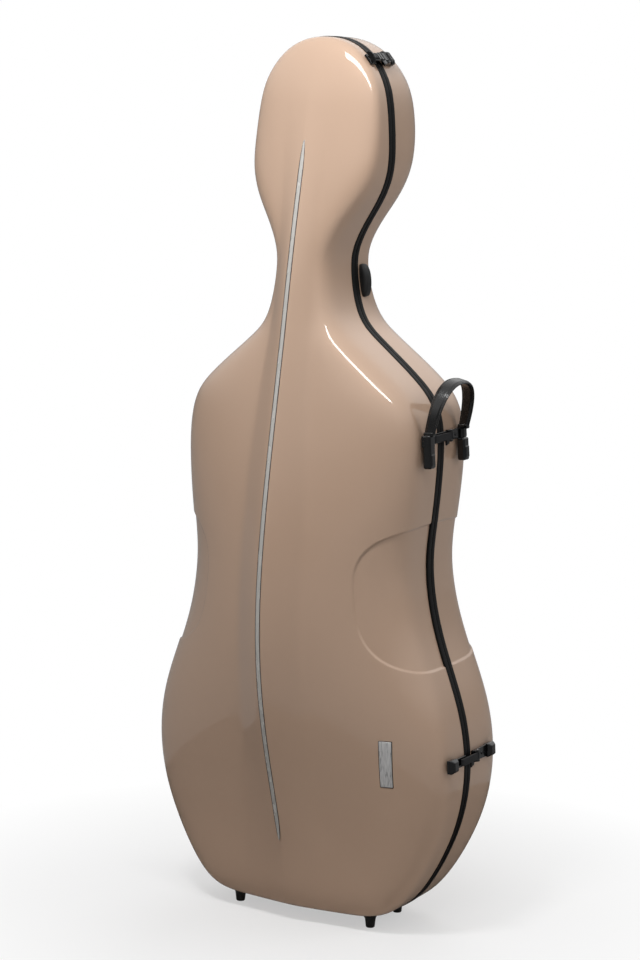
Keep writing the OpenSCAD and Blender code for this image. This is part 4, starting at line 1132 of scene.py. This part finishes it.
# The linings: moulded foam under a dark velour, glued inside both shells, with a rolled
# edge just behind the bands.
rear_pad, front_pad, pad_gap = 12.0, 8.0, 0.3
nap = (9.0, 4.0)
velour = painted(
    "dark_velour", (52, 51, 58), 0.9, (nap, 0.3, 0.7, 0.84, 0.96), (nap, 0.3, 0.7, (44, 43, 50), (62, 61, 69)),
    [(nap, 0.15, 0.002), ((1800.0, 2.0), 0.35, 0.0004)],
    Sheen_Weight=0.55, Sheen_Roughness=0.4, Sheen_Tint=colour(150, 148, 160))
lip_drop = 3.2
lining_t = side_values(lambda z: 9.0 + 0 * z)
for name, side, body, node, pad in (("lid_lining", LID, "lid", "front_lining", front_pad),
                                    ("tub_lining", TUB, "tub", "rear_lining", rear_pad)):
    rim_at = rim_h + pad_gap
    outer_shares = turn_shares(side, lambda s: 12.0)
    inner_shares = turn_shares(side, lambda s: np.where(s < 180, 9.0, 5.0))
    outer = face_grid(side, wall + pad_gap, rim_at, lining_t, outer_shares)
    inner = face_grid(side, wall + pad, rim_at, lining_t, inner_shares)
    inner[0, :, 1] = outer[0, :, 1] = side * (rim_at + lip_drop)
    lips = []
    for share, back in ((0.12, 0.9), (0.35, 0.0), (0.62, 0.0), (0.86, 0.8)):
        line = both_sides(outline(lining_t, wall + pad_gap + (pad - pad_gap) * share))
        lips.append(np.stack([line[:, 0], np.full(len(line), side * (rim_at + back)), line[:, 1]], -1))
    grid = np.concatenate([outer[::-1], np.array(lips), inner])
    lining = mesh_object(name, grid.reshape(-1, 3), grid_faces(*grid.shape[:2]), merge=0.01)
    dressed(lining, velour, body, "lining", node, fill=1.0)


# The cushions that hold the instrument: foam blocks under the same velour, swollen by a
# cloth simulation, each with a piped seam round its top.
foam_pressure, foam_stiffness, foam_frames = 4.0, 12, 20


def swollen(name, build, voxel, cap_at):
    """Remeshes the solid of a Build, lets it swell as cloth and returns the plain mesh object."""
    scene = bpy.context.scene
    piece = linked(name, build.data(name))
    remesh = piece.modifiers.new("even", "REMESH")
    remesh.mode = "VOXEL"
    remesh.voxel_size = voxel * mm
    piece.data = plain_mesh(piece)
    piece.modifiers.clear()
    start = np.array([v.co[:] for v in piece.data.vertices])
    cloth = piece.modifiers.new("swell", "CLOTH")
    cloth.settings.use_pressure = True
    cloth.settings.uniform_pressure_force = foam_pressure
    cloth.settings.effector_weights.gravity = 0
    cloth.settings.tension_stiffness = cloth.settings.compression_stiffness = foam_stiffness
    for number in range(1, foam_frames + 1):
        scene.frame_set(number)
    after = plain_mesh(piece)
    moved = np.array([v.co[:] for v in after.vertices]) - start
    far = np.linalg.norm(moved, axis=1, keepdims=True)
    moved *= np.minimum(1, cap_at * mm / np.maximum(far, 1e-9))
    piece.modifiers.clear()
    piece.data.vertices.foreach_set("co", (start + moved).ravel())
    scene.frame_set(1)
    smooth = piece.modifiers.new("settle", "SMOOTH")
    smooth.factor, smooth.iterations = 0.5, 4
    finer = piece.modifiers.new("finer", "SUBSURF")
    finer.levels = finer.render_levels = 1
    piece.data = plain_mesh(piece)
    piece.modifiers.clear()
    piece.data.name = name
    piece.data.shade_smooth()
    return piece


def run_points(z_low, z_high, inset):
    """Points (x, z) along the outline, pulled in, from one height to another."""
    return outline(np.linspace(t_at(z_low), t_at(z_high), 13), inset)


def shrunk(points, by):
    """A flat outline pulled in on every side, about its middle."""
    points = np.asarray(points, float)
    middle = (points.max(axis=0) + points.min(axis=0)) / 2
    half = (points.max(axis=0) - points.min(axis=0)) / 2
    return middle + (points - middle) * np.maximum(1 - by / half, 0.3)


turn_seat = wall + rear_pad + 6 * pad_gap
cushion_top, cushion_d = 14.0, 46.0
piping = painted("piping_cord", (40, 39, 44), 0.8, bumps=[(1500.0, 0.3, 0.0003)], Sheen_Weight=0.3)


def piped(name, line, radius, body, material, slot, close=False):
    """A round cord along a line of points in millimetres."""
    line = np.asarray(line, float)
    count = len(line)
    ahead = np.roll(line, -1, axis=0) - np.roll(line, 1, axis=0)
    if not close:
        ahead[0], ahead[-1] = line[1] - line[0], line[-1] - line[-2]
    ahead /= np.linalg.norm(ahead, axis=1, keepdims=True)
    flat = np.cross(ahead, np.array([0.12, 0.98, 0.15]))
    flat /= np.linalg.norm(flat, axis=1, keepdims=True)
    upward = np.cross(flat, ahead)
    angles = np.linspace(0, 2 * math.pi, 9)[:-1]
    rows = [line + radius * (math.cos(a) * flat + math.sin(a) * upward) for a in angles]
    grid = np.array(rows + rows[:1])
    faces = grid_faces(9, count).tolist() if close else open_faces(9, count)
    dressed(mesh_object(name, grid.reshape(-1, 3), faces, merge=0.001), material, body, slot)


def edge_line(points, y, step=3.0):
    """A closed flat outline at depth y, with its corners rounded, as points in millimetres."""
    points = np.asarray(points, float)
    closed = np.vstack([points, points[:1]])
    run = run_along(closed)
    count = max(int(run[-1] / step), 12)
    at = np.linspace(0, run[-1], count + 1)[:-1]
    ring = np.stack([np.interp(at, run, closed[:, k]) for k in (0, 1)], -1)
    for turn in range(4):
        ring = 0.5 * ring + 0.25 * (np.roll(ring, 1, axis=0) + np.roll(ring, -1, axis=0))
    return np.stack([ring[:, 0], np.full(len(ring), y), ring[:, 1]], -1)


def upright(points, y_low, y_high, radius):
    """A prism of a flat (x, z) outline between two depths."""
    build = Build()
    build.prism([(x, y_low, z) for x, z in points], (0, y_high - y_low, 0), radius, 2)
    return build


end_half, end_h, endpin_r = 75.0, 52.0, 12.0
cushion_mid = cushion_top + cushion_d / 2
end_run = outline(np.linspace(0, float(np.interp(end_half, base_curve[:, 0], fine_t[fine_t < 5])), 13), turn_seat)
end_top = end_run[0][1] + end_h
end_outline = np.vstack([(end_run * opposite)[:0:-1], end_run, [[end_run[-1][0], end_top], [-end_run[-1][0], end_top]]])
end_build = upright(shrunk(end_outline, 3.0), cushion_top + 3, cushion_top + cushion_d - 2, 6.0)
end_block = swollen("end_cushion", end_build, 4.5, 5.0)
bore = Build(Matrix.Translation((0, cushion_mid, 0)))
bore.barrel((0, 0), endpin_r, 0, 140, 0.1, 48)
bore_object = linked("endpin_bore", bore.data("endpin_bore"))
cut = end_block.modifiers.new("bore", "BOOLEAN")
cut.object, cut.operation, cut.solver = bore_object, "DIFFERENCE", "EXACT"
end_block.data = plain_mesh(end_block)
end_block.modifiers.clear()
bpy.data.objects.remove(bore_object)
end_block.data.shade_smooth()
dressed(end_block, velour, "tub", "cushion", "end_block", fill=0.9)
piped("end_cushion_piping", edge_line(shrunk(end_outline, 4.0), cushion_top + 2.6), 1.3, "tub", piping, "cushion",
      close=True)
rubber_ring = painted("grommet_rubber", (30, 30, 31), 0.5, bumps=[(1200.0, 0.2, 0.0002)])
grommet = Build(Matrix.Translation((0, cushion_mid, end_top - 1.2)))
grommet.add(ring_part(endpin_r, endpin_r + 4.5, 2.0, 0.9))
grommet.finish("endpin_grommet", rubber_ring, "tub", "cushion")

for pair, half_in, z_mid, node, voxel in (("lower", 222.0, 260.0, "lower_side_cushions", 4.0),
                                          ("upper", 175.0, 718.0, "upper_side_cushions", 2.6)):
    for side_name, m in (("right", 1), ("left", -1)):
        run = run_points(z_mid - 60, z_mid + 60, turn_seat)
        plan = np.vstack([run, [[half_in, run[-1][1]], [half_in, run[0][1]]]])
        plan[:-2, 0] = np.maximum(plan[:-2, 0], half_in + 2.0)
        plan = shrunk(plan, 1.6) * np.array([m, 1])
        build = upright(plan, cushion_top + 2, cushion_top + cushion_d - 2, 2.2)
        pad = swollen(pair + "_cushion_" + side_name, build, voxel, 3.0)
        dressed(pad, velour, "tub", "cushion", node, fill=0.9)
        inner = [(m * (half_in + 1.2), cushion_top + 2.4, z) for z in np.linspace(z_mid - 56, z_mid + 56, 57)]
        piped(pair + "_cushion_piping_" + side_name, inner, 1.1, "tub", piping, "cushion")

# The neck cradle and its strap: a notched foam block, and a band of webbing with a
# hook-and-loop flap that closes over the neck.
cradle_z, cradle_h, cradle_d, neck_room_r = 942.0, 40.0, 20.0, 16.0
cradle_half = float(run_points(cradle_z, cradle_z + cradle_h, turn_seat)[:, 0].min()) - 1.5
notch = [(neck_room_r * math.cos(a), cushion_top + neck_room_r * math.sin(a)) for a in np.linspace(0, math.pi, 13)]
cradle_low, cradle_high = cushion_top + 1.5, cushion_top + cradle_d - 1.5
cradle_plan = [(cradle_half, cradle_low), (cradle_half, cradle_high), (-cradle_half, cradle_high),
               (-cradle_half, cradle_low)] + [(x * 1.06, y + 1.5) for x, y in notch[::-1]]
cradle_build = Build()
cradle_build.prism([(x, y, cradle_z + 2) for x, y in cradle_plan], (0, 0, cradle_h - 4), 1.6, 2)
cradle = swollen("neck_cushion", cradle_build, 3.0, 2.0)
dressed(cradle, velour, "tub", "cushion", "neck_cradle", fill=0.9)

strap_r, strap_t, strap_w = 26.0, 2.4, 30.0
strap_mid, strap_y = cradle_z + cradle_h / 2, cushion_top - pad_gap
ribbing = (700.0, 1.0, (0.12, 0.12, 1.0))
webbing = painted(
    "black_webbing", (34, 34, 38), 0.75, (ribbing, 0.3, 0.7, 0.65, 0.85),
    (ribbing, 0.35, 0.65, (26, 26, 30), (48, 48, 53)), [(ribbing, 0.7, 0.0006), (2600.0, 0.2, 0.0002)])


def webbing_arc(name, low, high, inner, outer, width, round_end, *nodes):
    """A band bent round the neck, between two angles, with softened edges."""
    angles = np.linspace(math.radians(low), math.radians(high), 61)
    soft = (outer - inner) * 0.3
    rows = []
    for r, share in ((inner, 1), (inner + soft, 1.012), (outer - soft, 1.012), (outer, 1), (outer, 0.6), (outer, 0),
                     (outer, -0.6), (outer, -1), (outer - soft, -1.012), (inner + soft, -1.012), (inner, -1),
                     (inner, 0)):
        half = width / 2 * share * np.ones(61)
        if round_end:
            left = np.clip((angles[-1] - angles) * inner / round_end, 0, 1)
            half = half * np.sqrt(np.clip(1 - (1 - left) ** 3, 0.02, 1))
        rows.append(np.stack([-r * np.cos(angles), strap_y - r * np.sin(angles), strap_mid + half], -1))
    grid = np.array(rows + rows[:1])
    band = mesh_object(name, grid.reshape(-1, 3), open_faces(*grid.shape[:2]), merge=0.001)
    dressed(band, webbing, "tub", "webbing", *nodes)


webbing_arc("neck_band", 0, 180, strap_r - strap_t, strap_r, strap_w, 0, "neck_strap")
webbing_arc("neck_band_flap", 30, 128, strap_r + 0.1, strap_r + 2.2, strap_w - 3, 10)
flap_r = strap_r + 2.25
flap_points, flap_outs, flap_lines = [], [], []
for angle in np.arange(34, 122, 4.2):
    a = math.radians(angle)
    for edge in (-1, 1):
        flap_points.append((-flap_r * math.cos(a), strap_y - flap_r * math.sin(a), strap_mid + edge * 10.5))
        flap_outs.append((-math.cos(a), -math.sin(a), 0))
        flap_lines.append((math.sin(a), -math.cos(a), 0))
grey_thread = painted("grey_thread", (120, 118, 122), 0.7, bumps=[(3000.0, 0.4, 0.0001)])
rods("neck_band_stitches", flap_points, flap_outs, flap_lines, Matrix.Identity(4), 0.0016, 0.0003, grey_thread,
     "tub", "webbing")

# The bow holders in the lid: sewn pockets for the frogs, and leather blocks with a turned
# button over each stick, on a screw.
bow_x, pocket_z, clip_z, turner_dx = 56.0, 258.0, 850.0, 8.0
lining_seat = wall + front_pad + 7 * pad_gap
pocket_seat = lining_seat - 3.4
twill = (900.0, 1.0, (1, 1, 0.4))
pocket_fabric = painted(
    "pocket_fabric", (44, 43, 48), 0.8, (twill, 0.3, 0.7, 0.72, 0.9), (twill, 0.3, 0.7, (36, 35, 40), (58, 57, 63)),
    [(twill, 0.5, 0.0005)], Sheen_Weight=0.3)
clip_grain = (700.0, *cells)
clip_leather = painted(
    "clip_leather", (46, 44, 46), 0.5, (clip_grain, 0, 0.6, 0.58, 0.42),
    (90.0, 0.3, 0.7, (38, 36, 38), (60, 58, 60)), [(clip_grain, 0.4, 0.0003)])


def in_lid(z, inset, flip):
    return (flip @ face_place(LID, bow_x, z) @ Matrix.Translation((0, 0, -inset)) @ Matrix.Rotation(math.pi, 4, "X"))


pocket_w, pocket_h, pocket_d = 46.0, 92.0, 9.0
pocket_columns, pocket_rows = 25, 41
u = np.linspace(-1, 1, pocket_columns)
U, V = np.meshgrid(u, np.linspace(-1, 1, pocket_rows))
bulge = (1 - np.abs(U) ** 4) ** 0.6 * (1 - np.clip(V, 0, 1) ** 6) ** 0.5
height = 0.6 + (pocket_d - 1.2) * np.clip(bulge, 0, 1) * (0.72 + 0.28 * np.clip(-V, 0, 1) ** 2)
height += 0.35 * np.sin(V * 9 + U * 3) * (1 - np.abs(U) ** 2) * np.clip(1 - np.abs(V), 0, 1)
height = np.minimum(height, pocket_d)
front_sheet = np.stack([U * pocket_w / 2, V * pocket_h / 2, height], -1)
back_sheet = np.stack([U * (pocket_w / 2 - 0.5), V * pocket_h / 2, np.maximum(height - 1.4, 0.2)], -1)
pocket_grid = np.concatenate([front_sheet, back_sheet[::-1]])
ring = pocket_grid.shape[0]
pocket_faces = [(k * pocket_columns + i, k * pocket_columns + i + 1,
                 (k + 1) % ring * pocket_columns + i + 1, (k + 1) % ring * pocket_columns + i)
                for k in range(ring) for i in range(pocket_columns - 1)]
for i in (0, pocket_columns - 1):
    for k in range(pocket_rows - 1):
        pocket_faces.append([n * pocket_columns + i for n in (k, k + 1, ring - 2 - k, ring - 1 - k)])
seam_points = []
for y in np.arange(-42, 43, 3.4):
    row = int(round((y / (pocket_h / 2) + 1) * 20))
    for s in (-0.9, 0.9):
        seam_points.append((s * pocket_w / 2, y, float(np.interp(s, u, front_sheet[row, :, 2])) + 0.12))
seam_outs = [(0.6 * 0.9 * math.copysign(1, p[0]), 0, 0.8) for p in seam_points]
for side_name, flip in zip(("right", "left"), both_hands):
    place = in_lid(pocket_z, pocket_seat, flip)
    pouch = mesh_object("bow_pocket_" + side_name, [tuple(place @ Vector(p)) for p in pocket_grid.reshape(-1, 3)],
                        pocket_faces, merge=0.01)
    dressed(pouch, pocket_fabric, "lid", "pocket_fabric", "bow_pockets")
    mouth = [(place @ Vector((p[0], p[1], p[2] - 0.5)))[:] for p in front_sheet[0]]
    piped("bow_pocket_binding_" + side_name, mouth, 1.3, "lid", piping, "pocket_fabric")
    rods("bow_pocket_stitches_" + side_name, seam_points, seam_outs, [(0, 1, 0)] * len(seam_points), place,
         0.0022, 0.0003, grey_thread, "lid", "pocket_fabric")

clip_w, clip_h, clip_d, turner_t = 16.0, 24.0, 14.0, 4.0
clip_rim = 1.2
blocks = Build()
for flip in both_hands:
    place = in_lid(clip_z, lining_seat, flip) @ Matrix.Translation((turner_dx, 0, 0))
    blocks.box((-clip_w / 2, -clip_h / 2, 0), (clip_w / 2, clip_h / 2, clip_d - 3), 2.2, 4, place)
    blocks.box((-clip_w / 2 + clip_rim, -clip_h / 2 + clip_rim, clip_d - 5),
               (clip_w / 2 - clip_rim, clip_h / 2 - clip_rim, clip_d), 1.4, 3, place)
blocks.finish("bow_clip_blocks", clip_leather, "lid", "clip_plastic", "bow_clips")
turner_plastic = painted(
    "turner_plastic", (60, 58, 60), 0.38, (300.0, 0.3, 0.7, 0.3, 0.48),
    (80.0, 0.3, 0.7, (52, 50, 52), (72, 70, 72)), [((1300.0, 1.0), 0.15, 0.0002)])
for side_name, flip, body, node in (("right", Matrix.Identity(4), "turner_right", "bow_turner_right"),
                                    ("left", mirrored, "turner_left", "bow_turner_left")):
    place = in_lid(clip_z, lining_seat, flip) @ Matrix.Translation((turner_dx, 0, clip_d + pad_gap))
    arm = [(7 * math.cos(a), 7 * math.sin(a)) for a in np.linspace(-2.35, 2.35, 25)]
    arm += [(-21 - 5 * math.sin(a), 5 * math.cos(a)) for a in np.linspace(0, math.pi, 13)]
    button = Build(place)
    button.prism([(x, y, 0) for x, y in arm], (0, 0, turner_t), 1.1)
    for x in (-19.5, -16.5, -13.5):
        button.box((x - 0.6, -3.8, turner_t - 0.4), (x + 0.6, 3.8, turner_t + 0.5), 0.3, 2)
    button.finish("turner_button_" + side_name, turner_plastic, body, "clip_plastic", node)
turner_spots = [(in_lid(clip_z, lining_seat, flip) @ Matrix.Translation((turner_dx, 0, clip_d)),
                 (0, 0, turner_t + 2 * pad_gap + 0.6), (0, 0, 1)) for flip in both_hands]
screw_steel = painted("screw_steel", (168, 168, 170), 0.28, (800.0, 0.3, 0.7, 0.22, 0.36),
                      bumps=[((1800.0, 1.0), 0.08, 0.0001)], Metallic=1.0)
screw_set("turner_screw_heads", turner_spots, 1.35, screw_steel, "lid", "steel", "turner_screws")
bpy.data.objects.remove(screw_object)

# The studio: a pale floor that fades to white, a long soft box whose mirror image draws the
# streaks on the head and the shoulder, and four fills that light without being mirrored.
# Mirrored rays see a floor that is dim near the case and a sky that brightens with height.
floor_half = 9000
floor = mesh_object("floor", [(x * floor_half, y * floor_half, 0) for x, y in ((-1, -1), (1, -1), (1, 1), (-1, 1))],
                    [(0, 1, 2, 3)])
floor_paint = painted("pale_floor", (228, 228, 228), 0.7, (3.0, 0.3, 0.7, 0.65, 0.75), Specular_IOR_Level=0.2)


def seen_rays(tree, *kinds):
    """One where a ray is of one of these kinds."""
    rays = node_in(tree, "ShaderNodeLightPath", {})
    out = rays.outputs[kinds[0]]
    for kind in kinds[1:]:
        out = node_in(tree, "ShaderNodeMath", {0: out, 1: rays.outputs[kind]}, operation="MAXIMUM").outputs[0]
    return out


def mixed(tree, share, first, second):
    return node_in(tree, "ShaderNodeMixShader", {0: share, 1: first, 2: second}).outputs[0]


def glow(tree, tint, strength=1.0):
    return node_in(tree, "ShaderNodeEmission", {"Color": (*tint, 1), "Strength": strength}).outputs[0]


white = (1, 1, 1)
tree = floor_paint.node_tree
floor_where = node_in(tree, "ShaderNodeTexCoord", {}).outputs["Object"]
from_case = node_in(tree, "ShaderNodeVectorMath", {0: floor_where}, operation="LENGTH").outputs["Value"]
far_away = ranged(floor_paint, from_case, 0.1, 0.75, 0.5, 1)
to_eye = node_in(tree, "ShaderNodeMath", {0: far_away, 1: seen_rays(tree, "Is Camera Ray")}, operation="MULTIPLY")
seen_floor = mixed(tree, to_eye.outputs[0], tree.nodes["Principled BSDF"].outputs[0], glow(tree, white))
mirrored_floor = mixed(tree, ranged(floor_paint, from_case, 0.74, 0.77, 0, 1),
                       glow(tree, (0.06, 0.055, 0.05)), glow(tree, white, 0.28))
tree.links.new(mixed(tree, seen_rays(tree, "Is Glossy Ray"), seen_floor, mirrored_floor),
               tree.nodes["Material Output"].inputs["Surface"])
floor.data.materials.append(floor_paint)


def soft_box(name, place, aim, width, height, power, in_mirror=False):
    light = bpy.data.lights.new(name, "AREA")
    light.shape = "RECTANGLE"
    light.size, light.size_y = width, height
    light.energy = power
    lamp = linked(name, light)
    turn = (Vector(aim) - Vector(place)).to_track_quat("-Z", "Y").to_matrix().to_4x4()
    lamp.matrix_world = Matrix.Translation(place) @ turn
    lamp.visible_glossy = in_mirror


soft_box("strip_box", (0.72, -0.95, 2.3), (0.72, 0.1, 1.0), 1.7, 0.24, 19, in_mirror=True)
soft_box("head_fill", (0.0, -1.1, 2.3), (0.0, -0.1, 1.25), 0.42, 0.24, 20)
soft_box("right_fill", (2.4, 1.1, 1.8), (0.1, 0.0, 1.1), 1.4, 1.6, 19)
soft_box("left_fill", (-2.0, -2.2, 2.0), (0.0, 0.0, 1.2), 1.6, 1.4, 7)
soft_box("back_fill", (-0.6, 2.4, 2.2), (0.0, 0.0, 0.8), 1.8, 1.4, 34)
world = bpy.data.worlds.new("studio")
bpy.context.scene.world = world
world.use_nodes = True
tree = world.node_tree
room = tree.nodes["Background"]
room.inputs["Color"].default_value = (*white, 1)
room.inputs["Strength"].default_value = 0.05
backdrop = node_in(tree, "ShaderNodeBackground", {"Color": (*white, 1), "Strength": 1.0})
sky = node_in(tree, "ShaderNodeTexCoord", {}).outputs["Generated"]
ray_height = node_in(tree, "ShaderNodeSeparateXYZ", {0: sky}).outputs["Z"]
white_share = node_in(tree, "ShaderNodeMath", {
    0: seen_rays(tree, "Is Glossy Ray"), 1: ranged(world, ray_height, 0.05, 0.4, 0.17, 1.0),
    2: seen_rays(tree, "Is Camera Ray", "Is Transmission Ray"),
}, operation="MULTIPLY_ADD", use_clamp=True)
tree.links.new(mixed(tree, white_share.outputs[0], room.outputs[0], backdrop.outputs[0]),
               tree.nodes["World Output"].inputs["Surface"])
bpy.context.scene.view_settings.view_transform = "Standard"
